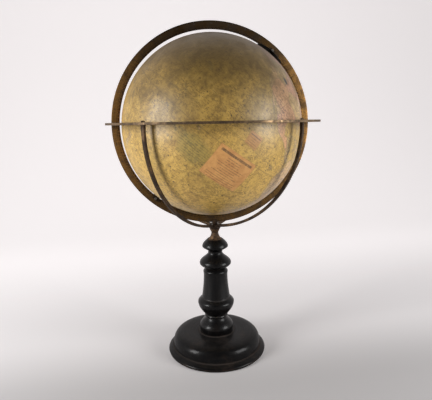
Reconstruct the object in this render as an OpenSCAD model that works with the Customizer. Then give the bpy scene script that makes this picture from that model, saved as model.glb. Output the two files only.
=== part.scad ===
/* [Globe] */
// Diameter of the paper-covered globe
globe_d = 320; // [300:1:360]
// Wall of the papier-mache shells
shell_t = 5; // [3:0.5:8]
// Width of the inner band that joins the shells
band_w = 24; // [16:1:36]
// Thickness of the inner band
band_t = 3; // [2:0.5:5]
// Diameter of the wooden post between the poles
post_d = 22; // [18:1:30]
// Diameter of the plates at the ends of the post
plate_d = 60; // [40:1:80]
// Thickness of the plates at the ends of the post
plate_t = 9; // [6:0.5:12]
// Height of the north pole above the horizon at rest, in degrees
pole_elevation = 50; // [40:1:60]
// How far the globe has slid down its worn axis
axis_slip = 3.2; // [0:0.1:3.6]

/* [Meridian ring] */
// Gap between the globe and the ring when both are centred
meridian_gap = 5.1; // [5:0.1:8]
// Width of the ring's graduated face
meridian_w = 14.2; // [11:0.2:16]
// Thickness of the ring
meridian_t = 5; // [4:0.25:6]
// Bevel along the ring's edges
meridian_bevel = 0.8; // [0.4:0.1:1.2]

/* [Pivots] */
// Diameter of the steel pivot pins
pin_d = 3; // [2.5:0.1:4]
// How deep a pin sits in the ring
pin_grip = 2; // [1.5:0.1:2.2]
// How deep a pin reaches into its bush
pin_reach = 13; // [8:0.5:13]
// Length of a pivot block along the ring
block_l = 12; // [10:0.5:16]
// Thickness of each cheek of a pivot block
block_cheek = 3; // [2:0.25:4]
// How far a pivot block laps over the ring
block_lap = 6; // [5.5:0.25:7]
// Thickness of the north block below the ring
block_bridge = 2.3; // [1.5:0.1:2.4]
// Diameter of a bush's flange
bush_flange_d = 14; // [12:0.5:20]
// Thickness of a bush's flange
bush_flange_t = 0.8; // [0.8:0.1:1]
// Outside diameter of a bush's body
bush_d = 8; // [7:0.25:10]
// Length of a bush's body below its flange
bush_l = 16; // [15:0.5:16]
// Shank diameter of the screws across the pivot blocks
cross_d = 2.5; // [2:0.1:2.6]

/* [Hour dial] */
// Diameter of the hour dial
dial_d = 55; // [40:1:56]
// Thickness of the dial's plate
dial_t = 1.5; // [1:0.1:1.6]
// Diameter of the dial's boss
dial_boss_d = 9; // [7:0.5:12]

/* [Horizon ring] */
// Width of the horizon ring
horizon_w = 23.6; // [20:0.2:30]
// Thickness of the horizon ring
horizon_t = 3.8; // [2:0.1:4.4]
// Gap between the globe and the horizon ring when both are centred
horizon_gap = 6; // [6:0.1:7]
// Height of the horizon ring above the meridian ring's centre
horizon_rise = 5; // [2:0.5:8]
// Gap round the meridian ring in the horizon ring's notches
notch_gap = 1; // [0.5:0.1:2]

/* [Arms] */
// Width of an arm
arm_w = 6; // [4:0.1:7]
// Thickness of an arm
arm_t = 5; // [3:0.1:5.6]
// Distance from the horizon ring's inner edge to the arm's middle
arm_inset = 8.5; // [7:0.5:12]
// Straight length of an arm below the horizon ring
arm_straight = 4.6; // [2:0.2:20]
// How far the straight end stands proud of the curved bar, on each side
arm_shoulder = 0.2; // [0.1:0.05:0.4]
// Diameter of the stud at the top of an arm
stud_d = 3.6; // [2.6:0.1:4]
// Width across the flats of the nuts on the studs
stud_nut_w = 5.6; // [5:0.1:7]
// Height of the nuts on the studs
stud_nut_h = 2.2; // [1.6:0.1:3]

/* [Hub and cradle] */
// Diameter of the hub that carries the arms
hub_d = 22.6; // [20:0.2:28]
// Height of the hub
hub_h = 8; // [7:0.5:10]
// Distance from the hub's axis to the inner end of an arm
arm_start = 5.5; // [5.2:0.1:6]
// Distance from the hub's axis to the screw in an arm
arm_screw_at = 8.4; // [8.2:0.1:8.8]
// Shank diameter of the arm screws
arm_screw_d = 2.2; // [1.8:0.1:2.4]
// Head diameter of the arm screws
arm_screw_head_d = 4; // [3.4:0.1:4.2]
// Head height of the arm screws
arm_screw_head_h = 1.2; // [1:0.1:1.4]
// Length of the arm screws below the head
arm_screw_l = 7; // [5:0.5:7]
// Gap between the hub and the meridian ring above it
cradle_lift = 4.5; // [4.5:0.1:8]
// Diameter of the cradle's round post
cradle_d = 9.6; // [8:0.2:10]
// Diameter of the cradle's bolt through the hub
cradle_bolt_d = 5; // [4:0.1:5.6]
// Length of the fork along the meridian ring
cradle_l = 9; // [7:0.5:12]
// Thickness of each cheek of the fork
cradle_cheek = 3; // [2:0.25:4]
// How high the fork's cheeks rise beside the meridian ring
cradle_rise = 4.8; // [3:0.1:6]

/* [Neck] */
// Height of the brass neck
neck_h = 20.8; // [19:0.2:30]
// Diameter of the neck's flange
neck_flange_d = 27; // [25:0.5:30]
// Thickness of the neck's flange
neck_flange_t = 1.6; // [1:0.1:2.4]
// Diameter of the neck's waist
neck_waist_d = 13.2; // [12:0.2:16]
// Diameter of the neck's top
neck_top_d = 19; // [16:0.5:21]

/* [Column] */
// Height of the column's head with its two knops
head_h = 56.6; // [50:0.2:70]
// Diameter of the upper knop
upper_knop_d = 49.2; // [40:0.2:54]
// Diameter of the lower knop
lower_knop_d = 60.2; // [50:0.2:66]
// Diameter of the waist between the knops
reel_d = 27; // [22:0.5:32]
// Height of the shaft with its bulb
shaft_h = 97.4; // [85:0.2:140]
// Diameter at the top of the shaft
shaft_top_d = 45.7; // [38:0.1:48]
// Diameter at the bottom of the shaft, above the bulb
shaft_low_d = 54.1; // [44:0.1:58]
// Diameter of the bulb below the shaft
bulb_d = 69.8; // [60:0.2:76]
// Height of the bulb
bulb_h = 38.9; // [34:0.1:50]
// Height of the flared foot
foot_h = 29; // [24:0.5:36]
// Diameter of the flared foot
foot_d = 65.4; // [56:0.5:70]
// Diameter of the neck between the foot and the bulb
foot_neck_d = 41.4; // [38:0.2:46]

/* [Base] */
// Diameter of the base
base_d = 188.6; // [160:0.2:220]
// Height of the base where the column stands
base_h = 38; // [34:0.5:50]
// Diameter of the base's upper tier
tier_d = 168.4; // [140:0.2:178]
// Height of the base's lower tier
rim_h = 10.4; // [8:0.2:16]
// Diameter of the recess under the base
recess_d = 40; // [38:1:60]
// Depth of the recess under the base
recess_h = 12; // [11:0.5:16]

/* [Tie rod] */
// Diameter of the iron rod through the column
rod_d = 8; // [6:0.5:10]
// Diameter of the rod's upper end, screwed into the neck
rod_tip_d = 5; // [4:0.1:6]
// Length of the rod's upper end
rod_tip_l = 10; // [8:0.5:12]
// Diameter of the washer under the base
washer_d = 32; // [24:1:34]
// Thickness of the washer
washer_t = 2; // [1:0.5:3]
// Width across the flats of the nut under the base
rod_nut_w = 14; // [12:0.5:18]
// Height of the nut under the base
rod_nut_h = 6; // [5:0.5:6]

/* [Joinery] */
// Diameter of the tenons between the turned pieces
tenon_d = 24; // [20:0.5:28]
// Length of the tenons
tenon_l = 8; // [6:0.5:9]

/* [Hidden] */
$fn = 96;

// Clearance of a turning fit, and of a screw or tenon in its hole
run_gap = 0.05;
// Clearance of the tie rod in the wooden column
rod_gap = 0.2;
// Clearance between faces that turn on each other
face_gap = 0.15;
// Room for the glue between the inner band and the shells
glue_gap = 0.2;
// Number of steps in one curve of a turned outline
steps = 10;
// How far a cutting tool runs past a face
past = 1;
// Step between the dial's plate and each end of its boss
dial_step = 0.6;
// Metal left between a pivot pin's end and the screw across the block
pin_wall = 0.7;
// Corners taken off the arms' bar, the horizon ring and the hub
arm_corner = 0.7;
horizon_corner = 0.4;
hub_corner = 0.8;
// How far the straight end of an arm laps over the end of the curve
shoulder_lap = 0.5;
// How far a stud stands out of its nut
stud_proud = 0.6;
// How far the tie rod stands out of its nut
rod_proud = 1;
// Depth of the groove between the shaft and the head
head_groove = 5;
// Wood and brass below the hub that the cradle's bolt passes
bolt_below_hub = 6;
// Gap between the arm screws' heads and the fork above them
fork_gap = 0.3;
// Height of the cross screws' heads and nuts, and how far the screws stand out
cross_head_h = 1.2;
cross_nut_h = 1.6;
cross_proud = 0.4;
// How much wider the cross screws' heads and nuts are than the screws
cross_rim = 2;

ebony = [0.07, 0.065, 0.065];
brass = [0.42, 0.31, 0.15];
black_brass = [0.12, 0.09, 0.06];
steel = [0.45, 0.44, 0.42];
iron = [0.22, 0.21, 0.20];
paper = [0.66, 0.58, 0.36];
board = [0.62, 0.54, 0.42];
pine = [0.72, 0.58, 0.38];

// Heights, from the floor upward
foot_z = base_h;
shaft_z = foot_z + foot_h;
head_z = shaft_z + shaft_h;
neck_z = head_z + head_h;
hub_z = neck_z + neck_h;
hub_top = hub_z + hub_h;

// Tie rod under the base, its bore, the tenons' sockets and the cradle's bolt
washer_z = recess_h - washer_t;
nut_z = washer_z - rod_nut_h;
rod_low = nut_z - rod_proud;
bore_d = rod_d + 2 * rod_gap;
socket_d = tenon_d + 2 * run_gap;
cradle_bolt_l = hub_h + bolt_below_hub;

// Rings, about the centre of the meridian ring
globe_r = globe_d / 2;
meridian_ri = globe_r + meridian_gap;
meridian_ro = meridian_ri + meridian_w;
centre_z = hub_top + cradle_lift + meridian_ro;
horizon_z = centre_z + horizon_rise;
horizon_ri = globe_r + horizon_gap;
horizon_ro = horizon_ri + horizon_w;

// Arms: a circle that passes level over the hub and ends upright below the horizon ring
arm_reach = horizon_ri + arm_inset;
arm_angles = [225, 315, 135, 45];
horizon_low = horizon_z - horizon_t / 2;
arm_arc_z = horizon_low - arm_straight;
arm_low = hub_top - arm_t / 2;
arm_arc_r = arm_arc_z - arm_low;
arm_arc_x = arm_reach - arm_arc_r;
function arm_angle_at(r) = asin((r - arm_arc_x) / arm_arc_r);
function arm_top_at(r) = arm_arc_z - (arm_arc_r - arm_t / 2) * cos(arm_angle_at(r));
screw_seat = arm_top_at(arm_screw_at - arm_screw_head_d / 2 - run_gap);

// Polar axis, measured from the centre of the meridian ring
globe_shift = -axis_slip;
north_face = globe_shift + globe_r;
south_face = globe_r - globe_shift;
bush_top = meridian_ri - block_bridge - 2 * face_gap - dial_t - 2 * dial_step;
block_out = meridian_ri + block_lap;
cross_at = meridian_ri + pin_grip + cross_d / 2 + pin_wall;
cross_head_d = cross_d + cross_rim;
cross_nut_w = cross_d + cross_rim;
block_half_w = meridian_t / 2 + block_cheek;

// Curves of a turned outline, as points [radius, height]
// Convex, upright where it is widest
function swell(a, b) = [
    for (i = [1 : steps])
        let (t = i / steps)
        [
            a.x > b.x ? b.x + (a.x - b.x) * cos(90 * t) : a.x + (b.x - a.x) * sin(90 * t),
            a.y + (b.y - a.y) * t
        ]
];
// Double curve, upright at both ends; late above 1 keeps to the first radius for longer
function double_curve(a, b, late = 1) = [
    for (i = [1 : steps])
        let (t = i / steps)
        [a.x + (b.x - a.x) * (1 - cos(180 * pow(t, late))) / 2, a.y + (b.y - a.y) * t]
];

// A solid turned about its axis from an outline that starts and ends away from the axis
module turned(outline) {
    last = outline[len(outline) - 1];
    rotate_extrude() polygon(concat([[0, outline[0].y]], outline, [[0, last.y]]));
}

// A flat bar's section with its corners taken off
module bar_section(w, t, corner) {
    polygon([
        for (s = [[1, 1], [-1, 1], [-1, -1], [1, -1]])
            each (s.x * s.y > 0
                ? [[s.x * w / 2, s.y * (t / 2 - corner)], [s.x * (w / 2 - corner), s.y * t / 2]]
                : [[s.x * (w / 2 - corner), s.y * t / 2], [s.x * w / 2, s.y * (t / 2 - corner)]])
    ]);
}

// A screw pointing down from its seat at the origin
module slotted_screw(d, l, head_d, head_h) {
    slot_w = head_d / 6;
    translate([0, 0, -l]) cylinder(d = d, h = l + head_h / 4);
    difference() {
        cylinder(d = head_d, h = head_h);
        translate([-head_d, -slot_w / 2, head_h / 2]) cube([2 * head_d, slot_w, head_h]);
    }
}

module hex_nut(across, h, hole_d) {
    difference() {
        cylinder(d = across / cos(30), h = h, $fn = 6);
        translate([0, 0, -past]) cylinder(d = hole_d, h = h + 2 * past);
    }
}

// A round bar or bore on the column's axis, between two heights
module on_column(d, low, high) {
    translate([0, 0, low]) cylinder(d = d, h = high - low);
}

// Base and column
module base_plinth() {
    base_r = base_d / 2;
    tier_r = tier_d / 2;
    // How far the top of the base reaches past the foot, and how it is eased there
    foot_rim = 2.5;
    ease = 0.8;
    top_flat = 2;
    // Rim: drawn in at the floor, widest at this share of its height, ending past the upper tier
    floor_inset = 2.4;
    rim_widest = 0.38;
    rim_out = 1.2;
    // Upper tier: a small step, then one round curve from its side over its top. The larger
    // each number, the straighter the side or the flatter the top
    step_h = 1.2;
    upright = 5.4;
    flatness = 3.1;
    dome_steps = 2 * steps;
    foot_edge = foot_d / 2 + foot_rim;
    rim_wide = [base_r, rim_h * rim_widest];
    rim_top = [tier_r + rim_out, rim_h];
    tier_low = [tier_r - ease, rim_h + step_h / 2];
    tier_wide = [tier_r, rim_h + step_h];
    outline = concat(
        [[base_r - floor_inset, 0], [base_r - ease, rim_wide.y / 3]], [rim_wide], swell(rim_wide, rim_top),
        [[rim_top.x - ease, rim_h], tier_low, tier_wide],
        [
            for (i = [1 : dome_steps])
                let (a = 90 * i / dome_steps)
                [
                    foot_edge + (tier_r - foot_edge) * pow(max(cos(a), 0), 2 / upright),
                    tier_wide.y + (base_h - ease - tier_wide.y) * pow(sin(a), 2 / flatness)
                ]
        ],
        [[foot_edge - ease, base_h], [foot_edge - top_flat, base_h]]
    );
    color(ebony)
        difference() {
            turned(outline);
            on_column(bore_d, -past, base_h + past);
            on_column(recess_d, -past, recess_h);
            on_column(socket_d, base_h - tenon_l - run_gap, base_h + past);
        }
}

module column_foot() {
    foot_r = foot_d / 2;
    // Widest at this share of the foot's height, above a band that is drawn in below
    flare = 0.3;
    band_in = 1.7;
    band_ease = 0.3;
    ease_share = 0.15;
    lateness = 1.2;
    wide = [foot_r, foot_z + foot_h * flare];
    neck = [foot_neck_d / 2, shaft_z];
    outline = concat(
        [[foot_r - band_in, foot_z], [foot_r - band_ease, wide.y - foot_h * flare * ease_share], wide],
        double_curve(wide, neck, lateness)
    );
    color(ebony)
        difference() {
            union() {
                turned(outline);
                on_column(tenon_d, foot_z - tenon_l, foot_z + past);
            }
            on_column(bore_d, foot_z - tenon_l - past, shaft_z + past);
            on_column(socket_d, shaft_z - tenon_l - run_gap, shaft_z + past);
        }
}

module column_shaft() {
    low_r = foot_neck_d / 2;
    // Bead at the bottom
    bead_out = 1.4;
    bead_h = 5;
    // Bulb: widest at this share of its height, and the step above it
    bulb_widest = 0.778;
    crown_step = 0.5;
    crown_h = 1;
    // Ring at the top, measured down from the head
    ring_out = 0.65;
    ring_down = 6;
    ring_start = 12;
    // How far the shaft stands out beside the bead
    fillet = 0.5;
    start = [low_r, shaft_z];
    bead = [low_r + bead_out, shaft_z + bead_h / 2];
    dip = [low_r + fillet, shaft_z + bead_h];
    wide = [bulb_d / 2, shaft_z + bulb_h * bulb_widest];
    crown = [shaft_low_d / 2 + crown_step, shaft_z + bulb_h];
    low = [shaft_low_d / 2, shaft_z + bulb_h + crown_h];
    thin = [shaft_top_d / 2, head_z - ring_start];
    ring = [shaft_top_d / 2 + ring_out, head_z - ring_down];
    top = [shaft_top_d / 2 - head_groove, head_z];
    outline = concat(
        [start], double_curve(start, bead), double_curve(bead, dip), swell(dip, wide), swell(wide, crown),
        [low],
        [
            for (i = [1 : steps])
                let (t = i / steps)
                [low.x + (thin.x - low.x) * sin(90 * t), low.y + (thin.y - low.y) * t]
        ],
        double_curve(thin, ring), swell(ring, top)
    );
    color(ebony)
        difference() {
            union() {
                turned(outline);
                on_column(tenon_d, shaft_z - tenon_l, shaft_z + past);
            }
            on_column(bore_d, shaft_z - tenon_l - past, head_z + past);
            on_column(socket_d, head_z - tenon_l - run_gap, head_z + past);
        }
}

module column_head() {
    // Heights of the lower knop, the waist and the upper knop, as shares of the head's height
    lower_at = 0.19;
    waist_at = 0.557;
    upper_at = 0.762;
    // How late the curves leave the lower knop and the waist
    lower_late = 1.11;
    waist_late = 1.39;
    // Wooden edge round the neck's flange
    flange_edge = 2;
    start = [shaft_top_d / 2 - head_groove, head_z];
    lower = [lower_knop_d / 2, head_z + head_h * lower_at];
    waist = [reel_d / 2, head_z + head_h * waist_at];
    upper = [upper_knop_d / 2, head_z + head_h * upper_at];
    top = [neck_flange_d / 2 + flange_edge, neck_z];
    outline = concat(
        [start], swell(start, lower), double_curve(lower, waist, lower_late),
        double_curve(waist, upper, waist_late), swell(upper, top)
    );
    color(ebony)
        difference() {
            union() {
                turned(outline);
                on_column(tenon_d, head_z - tenon_l, head_z + past);
            }
            on_column(bore_d, head_z - tenon_l - past, neck_z + past);
        }
}

module tie_rod() {
    color(iron) {
        on_column(rod_d, rod_low, neck_z - run_gap);
        on_column(rod_tip_d, neck_z - past, neck_z + rod_tip_l);
    }
}

module tie_washer() {
    color(iron)
        difference() {
            on_column(washer_d, washer_z, recess_h);
            on_column(bore_d, washer_z - past, recess_h + past);
        }
}

module tie_nut() {
    color(iron) translate([0, 0, nut_z]) hex_nut(rod_nut_w, rod_nut_h, rod_d + 2 * run_gap);
}

// Brass neck, hub and cradle
module neck_socket() {
    // Width of the flange outside the cove, and the waist's height as a share of the neck's
    flange_w = 2.2;
    waist_at = 0.62;
    lip = [neck_flange_d / 2, neck_z];
    cove = [neck_flange_d / 2 - flange_w, neck_z + neck_flange_t];
    waist = [neck_waist_d / 2, neck_z + neck_h * waist_at];
    top = [neck_top_d / 2, hub_z];
    outline = concat(
        [lip, [lip.x, cove.y], cove],
        [
            for (i = [1 : steps])
                let (t = i / steps)
                [waist.x + (cove.x - waist.x) * (1 - sin(90 * t)), cove.y + (waist.y - cove.y) * t]
        ],
        double_curve(waist, top)
    );
    color(brass)
        difference() {
            turned(outline);
            on_column(rod_tip_d + 2 * run_gap, neck_z - past, neck_z + rod_tip_l + run_gap);
            on_column(cradle_bolt_d + 2 * run_gap, hub_top - cradle_bolt_l - run_gap, hub_z + past);
        }
}

module arm_hub() {
    hub_r = hub_d / 2;
    // Share of the hub's height in which it swells from the neck
    swell_share = 0.4;
    low = [neck_top_d / 2, hub_z];
    outline = concat(
        [low], swell(low, [hub_r, hub_z + hub_h * swell_share]),
        [[hub_r, hub_top - hub_corner], [hub_r - hub_corner, hub_top]]
    );
    color(brass)
        difference() {
            turned(outline);
            on_column(cradle_bolt_d + 2 * run_gap, hub_z - past, hub_top + past);
            for (a = arm_angles) rotate([0, 0, a]) arm_bar(run_gap);
            for (a = arm_angles) rotate([0, 0, a]) arm_screw_hole();
        }
}

module arm_screw_hole() {
    translate([arm_screw_at, 0, screw_seat - arm_screw_l - run_gap])
        cylinder(d = arm_screw_d + 2 * run_gap, h = arm_screw_l + hub_h);
}

// The bent bar of one arm, in the plane of X and Z, grown on all sides by a clearance
module arm_bar(grow = 0) {
    start_angle = arm_angle_at(arm_start - grow) - 90;
    w = arm_w + 2 * grow;
    t = arm_t + 2 * grow;
    translate([arm_arc_x, 0, arm_arc_z])
        rotate([90, 0, 0])
        rotate([0, 0, start_angle])
        rotate_extrude(angle = -start_angle)
        translate([arm_arc_r, 0])
        bar_section(t, w, arm_corner);
    translate([arm_reach, 0, arm_arc_z - shoulder_lap])
        linear_extrude(arm_straight + shoulder_lap)
        bar_section(t + 2 * arm_shoulder, w + 2 * arm_shoulder, arm_corner);
}

module arm(angle) {
    stud_l = horizon_t + stud_nut_h + stud_proud;
    color(brass)
        rotate([0, 0, angle])
        difference() {
            union() {
                arm_bar();
                translate([arm_reach, 0, horizon_low - past]) cylinder(d = stud_d, h = stud_l + past);
            }
            arm_screw_hole();
            translate([arm_screw_at, 0, screw_seat])
                cylinder(d = arm_screw_head_d + 2 * run_gap, h = hub_h);
        }
}

module arm_front_left() { arm(arm_angles[0]); }
module arm_front_right() { arm(arm_angles[1]); }
module arm_back_left() { arm(arm_angles[2]); }
module arm_back_right() { arm(arm_angles[3]); }

module arm_screws() {
    color(steel)
        for (a = arm_angles)
            rotate([0, 0, a])
            translate([arm_screw_at, 0, screw_seat])
            slotted_screw(arm_screw_d, arm_screw_l, arm_screw_head_d, arm_screw_head_h);
}

module horizon_ring() {
    notch_w = meridian_t + 2 * notch_gap;
    notch_r = meridian_ro + notch_gap;
    color(brass)
        difference() {
            translate([0, 0, horizon_z])
                rotate_extrude()
                translate([(horizon_ri + horizon_ro) / 2, 0])
                bar_section(horizon_w, horizon_t, horizon_corner);
            translate([-notch_r, -notch_w / 2, horizon_low - past])
                cube([2 * notch_r, notch_w, horizon_t + 2 * past]);
            for (a = arm_angles)
                rotate([0, 0, a])
                translate([arm_reach, 0, horizon_low - past])
                cylinder(d = stud_d + 2 * run_gap, h = horizon_t + 2 * past);
        }
}

module horizon_nuts() {
    color(brass)
        for (a = arm_angles)
            rotate([0, 0, a])
            translate([arm_reach, 0, horizon_low + horizon_t])
            hex_nut(stud_nut_w, stud_nut_h, stud_d + 2 * run_gap);
}

module meridian_cradle() {
    slot_w = meridian_t + 2 * run_gap;
    fork_w = slot_w + 2 * cradle_cheek;
    fork_z = screw_seat + arm_screw_head_h + fork_gap;
    fork_top = hub_top + cradle_lift + cradle_rise;
    color(brass)
        difference() {
            union() {
                on_column(cradle_bolt_d, hub_top - cradle_bolt_l, hub_top + past);
                on_column(cradle_d, hub_top, fork_z + past);
                translate([-cradle_l / 2, -fork_w / 2, fork_z]) cube([cradle_l, fork_w, fork_top - fork_z]);
            }
            translate([0, 0, centre_z])
                rotate([90, 0, 0])
                cylinder(r = meridian_ro + run_gap, h = slot_w, center = true);
        }
}

// Meridian ring and pivots, placed along the polar axis from the ring's centre
module on_axis() {
    translate([0, 0, centre_z]) rotate([0, 90 - pole_elevation, 0]) children();
}

// The south end of the axis is the north end turned half round about the ring's own axis
module to_south() {
    rotate([0, 180, 0]) children();
}

module cross_hole() {
    translate([0, 0, cross_at])
        rotate([90, 0, 0])
        cylinder(d = cross_d + 2 * run_gap, h = 4 * block_half_w, center = true);
}

module pin_hole() {
    cylinder(d = pin_d + 2 * run_gap, h = meridian_ri + pin_grip + run_gap);
}

module meridian_ring() {
    color(brass)
        on_axis()
        difference() {
            rotate([90, 0, 0])
                rotate_extrude()
                translate([(meridian_ri + meridian_ro) / 2, 0])
                bar_section(meridian_w, meridian_t, meridian_bevel);
            for (s = [0, 180])
                rotate([0, s, 0]) {
                    pin_hole();
                    cross_hole();
                }
        }
}

// A block that straddles the ring's inner edge, from the given distance outward
module pivot_block(inner) {
    color(brass)
        difference() {
            translate([-block_l / 2, -block_half_w, inner])
                cube([block_l, 2 * block_half_w, block_out - inner]);
            difference() {
                translate([-block_l, -meridian_t / 2 - run_gap, 0])
                    cube([2 * block_l, meridian_t + 2 * run_gap, block_out + past]);
                rotate([90, 0, 0])
                    cylinder(r = meridian_ri - run_gap, h = 4 * block_half_w, center = true);
            }
            pin_hole();
            cross_hole();
        }
}

module north_pivot_block() {
    on_axis() pivot_block(meridian_ri - block_bridge);
}

module south_pivot_block() {
    on_axis() to_south() pivot_block(south_face + bush_flange_t + face_gap);
}

module pivot_pin(face) {
    color(steel)
        translate([0, 0, face - pin_reach])
        cylinder(d = pin_d, h = meridian_ri + pin_grip - face + pin_reach);
}

module north_pivot_pin() {
    on_axis() pivot_pin(north_face);
}

module south_pivot_pin() {
    on_axis() to_south() pivot_pin(south_face);
}

module pivot_screws() {
    cross_l = 2 * block_half_w + cross_nut_h + cross_proud;
    color(steel)
        on_axis()
        for (s = [0, 180])
            rotate([0, s, 0])
            translate([0, -block_half_w, cross_at])
            rotate([90, 0, 0])
            slotted_screw(cross_d, cross_l, cross_head_d, cross_head_h);
}

module pivot_nuts() {
    color(steel)
        on_axis()
        for (s = [0, 180])
            rotate([0, s, 0])
            translate([0, block_half_w, cross_at])
            rotate([-90, 0, 0])
            hex_nut(cross_nut_w, cross_nut_h, cross_d + 2 * run_gap);
}

// Globe, about its own centre on the axis
module on_globe() {
    on_axis() translate([0, 0, globe_shift]) children();
}

module hemisphere() {
    color(paper)
        difference() {
            rotate_extrude()
                intersection() {
                    difference() {
                        circle(r = globe_r);
                        circle(r = globe_r - shell_t);
                    }
                    square(globe_r);
                }
            cylinder(d = bush_d + 2 * run_gap, h = globe_d);
        }
}

module north_hemisphere() { on_globe() hemisphere(); }
module south_hemisphere() { on_globe() to_south() hemisphere(); }

module seam_band() {
    inner_r = globe_r - shell_t;
    band_r = sqrt(inner_r * inner_r - band_w * band_w / 4) - glue_gap;
    color(board)
        on_globe()
        difference() {
            cylinder(r = band_r, h = band_w, center = true);
            cylinder(r = band_r - band_t, h = band_w + 2 * past, center = true);
        }
}

module axle_post() {
    inner_r = globe_r - shell_t;
    plate_face = sqrt(inner_r * inner_r - plate_d * plate_d / 4) - run_gap;
    color(pine)
        on_globe()
        difference() {
            union() {
                cylinder(d = post_d, h = 2 * (plate_face - plate_t / 2), center = true);
                for (s = [0, 180])
                    rotate([0, s, 0])
                    translate([0, 0, plate_face - plate_t])
                    cylinder(d = plate_d, h = plate_t);
            }
            for (s = [0, 180])
                rotate([0, s, 0])
                translate([0, 0, globe_r - bush_l - run_gap])
                cylinder(d = bush_d + 2 * run_gap, h = bush_l);
        }
}

// A bush whose flange sits on the globe at its own pole
module pole_bush(face, collar_top) {
    color(brass)
        difference() {
            union() {
                translate([0, 0, face - bush_l]) cylinder(d = bush_d, h = bush_l + bush_flange_t / 2);
                translate([0, 0, face]) cylinder(d = bush_flange_d, h = bush_flange_t);
                translate([0, 0, face]) cylinder(d = bush_d, h = collar_top - face);
            }
            translate([0, 0, face - pin_reach - past])
                cylinder(d = pin_d + 2 * run_gap, h = globe_r);
        }
}

module north_pole_bush() {
    on_axis() pole_bush(north_face, bush_top);
}

module south_pole_bush() {
    on_axis() to_south() pole_bush(south_face, south_face + bush_flange_t);
}

module hour_dial() {
    boss_low = bush_top + face_gap;
    boss_top = meridian_ri - block_bridge - face_gap;
    color(black_brass)
        on_axis()
        difference() {
            union() {
                translate([0, 0, boss_low]) cylinder(d = dial_boss_d, h = boss_top - boss_low);
                translate([0, 0, boss_low + dial_step / 2]) cylinder(d = dial_d, h = dial_t);
            }
            translate([0, 0, boss_low - past]) cylinder(d = pin_d + 2 * run_gap, h = 4 * dial_t + past);
        }
}

base_plinth();
column_foot();
column_shaft();
column_head();
tie_rod();
tie_washer();
tie_nut();
neck_socket();
arm_hub();
arm_front_left();
arm_front_right();
arm_back_left();
arm_back_right();
arm_screws();
horizon_ring();
horizon_nuts();
meridian_cradle();
meridian_ring();
north_pivot_block();
south_pivot_block();
north_pivot_pin();
south_pivot_pin();
pivot_screws();
pivot_nuts();
north_hemisphere();
south_hemisphere();
seam_band();
axle_post();
north_pole_bush();
south_pole_bush();
hour_dial();
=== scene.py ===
import math
from functools import partial

import bpy
import numpy as np
from mathutils import Matrix, Vector


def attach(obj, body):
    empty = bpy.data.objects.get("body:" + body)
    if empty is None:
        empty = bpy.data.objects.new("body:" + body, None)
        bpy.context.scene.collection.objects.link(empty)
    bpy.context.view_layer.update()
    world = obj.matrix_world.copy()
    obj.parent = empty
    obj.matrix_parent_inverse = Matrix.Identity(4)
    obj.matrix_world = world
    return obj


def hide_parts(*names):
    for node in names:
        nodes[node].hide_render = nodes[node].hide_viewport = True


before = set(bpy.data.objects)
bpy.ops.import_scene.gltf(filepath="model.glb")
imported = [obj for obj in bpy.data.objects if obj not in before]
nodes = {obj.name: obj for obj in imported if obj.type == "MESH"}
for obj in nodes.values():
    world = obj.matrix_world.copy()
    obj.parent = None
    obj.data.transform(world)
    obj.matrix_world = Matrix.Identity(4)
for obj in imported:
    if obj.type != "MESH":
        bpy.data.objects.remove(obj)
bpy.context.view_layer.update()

# Base plinth
# Round base turned from one hardwood block, a low rim under one smooth dome,
# stained black and shellacked. The column stands on it and a nut sits below.
MM = 0.001
base_r, tier_r, foot_edge, recess_r = 94.3, 84.2, 35.2, 20.0
base_h, rim_h, recess_h = 38.0, 10.4, 12.0


def swell(a, b, count=16):
    """Convex quarter curve, upright where it is widest."""
    curve = []
    for i in range(1, count + 1):
        t = i / count
        if a[0] > b[0]:
            r = b[0] + (a[0] - b[0]) * math.cos(math.pi / 2 * t)
        else:
            r = a[0] + (b[0] - a[0]) * math.sin(math.pi / 2 * t)
        curve.append((r, a[1] + (b[1] - a[1]) * t))
    return curve


def mode(name):
    bpy.ops.object.mode_set(mode=name)


def points_selected(action="SELECT"):
    bpy.ops.mesh.select_all(action=action)


def nothing_selected():
    if bpy.context.object and bpy.context.object.mode != "OBJECT":
        mode("OBJECT")
    bpy.ops.object.select_all(action="DESELECT")


def only(piece):
    """Selects this object alone and makes it the active one."""
    nothing_selected()
    piece.select_set(True)
    bpy.context.view_layer.objects.active = piece


def new_plane(name, size=1, **settings):
    nothing_selected()
    bpy.ops.mesh.primitive_plane_add(size=size, location=(0, 0, 0), **settings)
    piece = bpy.context.object
    piece.name = piece.data.name = name
    return piece


def spin_all(steps, angle, centre, axis, merged):
    """Spins the whole mesh in edit mode and merges the points that meet."""
    points_selected()
    bpy.ops.mesh.spin(steps=steps, angle=angle, center=centre, axis=axis)
    points_selected()
    bpy.ops.mesh.remove_doubles(threshold=merged)


def one_vertex(name, place):
    """A new mesh of one selected vertex at the place, left in edit mode."""
    piece = new_plane(name, size=0.01)
    mode("EDIT")
    bpy.ops.mesh.select_mode(type="VERT")
    points_selected()
    bpy.ops.mesh.merge(type="CENTER")
    bpy.ops.transform.translate(value=place)
    return piece


def apply_modifier(piece, kind, **settings):
    modifier = piece.modifiers.new(kind.lower(), kind)
    for key, value in settings.items():
        setattr(modifier, key, value)
    only(piece)
    bpy.ops.object.modifier_apply(modifier=modifier.name)


def bevel(piece, width, least_angle):
    """Two-step bevel in millimetres along the edges sharper than an angle in degrees."""
    angle = math.radians(least_angle)
    apply_modifier(piece, "BEVEL", width=width * MM, segments=2, limit_method="ANGLE", angle_limit=angle)


def smooth(piece, degrees=35):
    only(piece)
    bpy.ops.object.shade_smooth_by_angle(angle=math.radians(degrees))


def points_of(piece):
    place = np.zeros(len(piece.data.vertices) * 3, np.float32)
    piece.data.vertices.foreach_get("co", place)
    return place.reshape(-1, 3)


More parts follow.
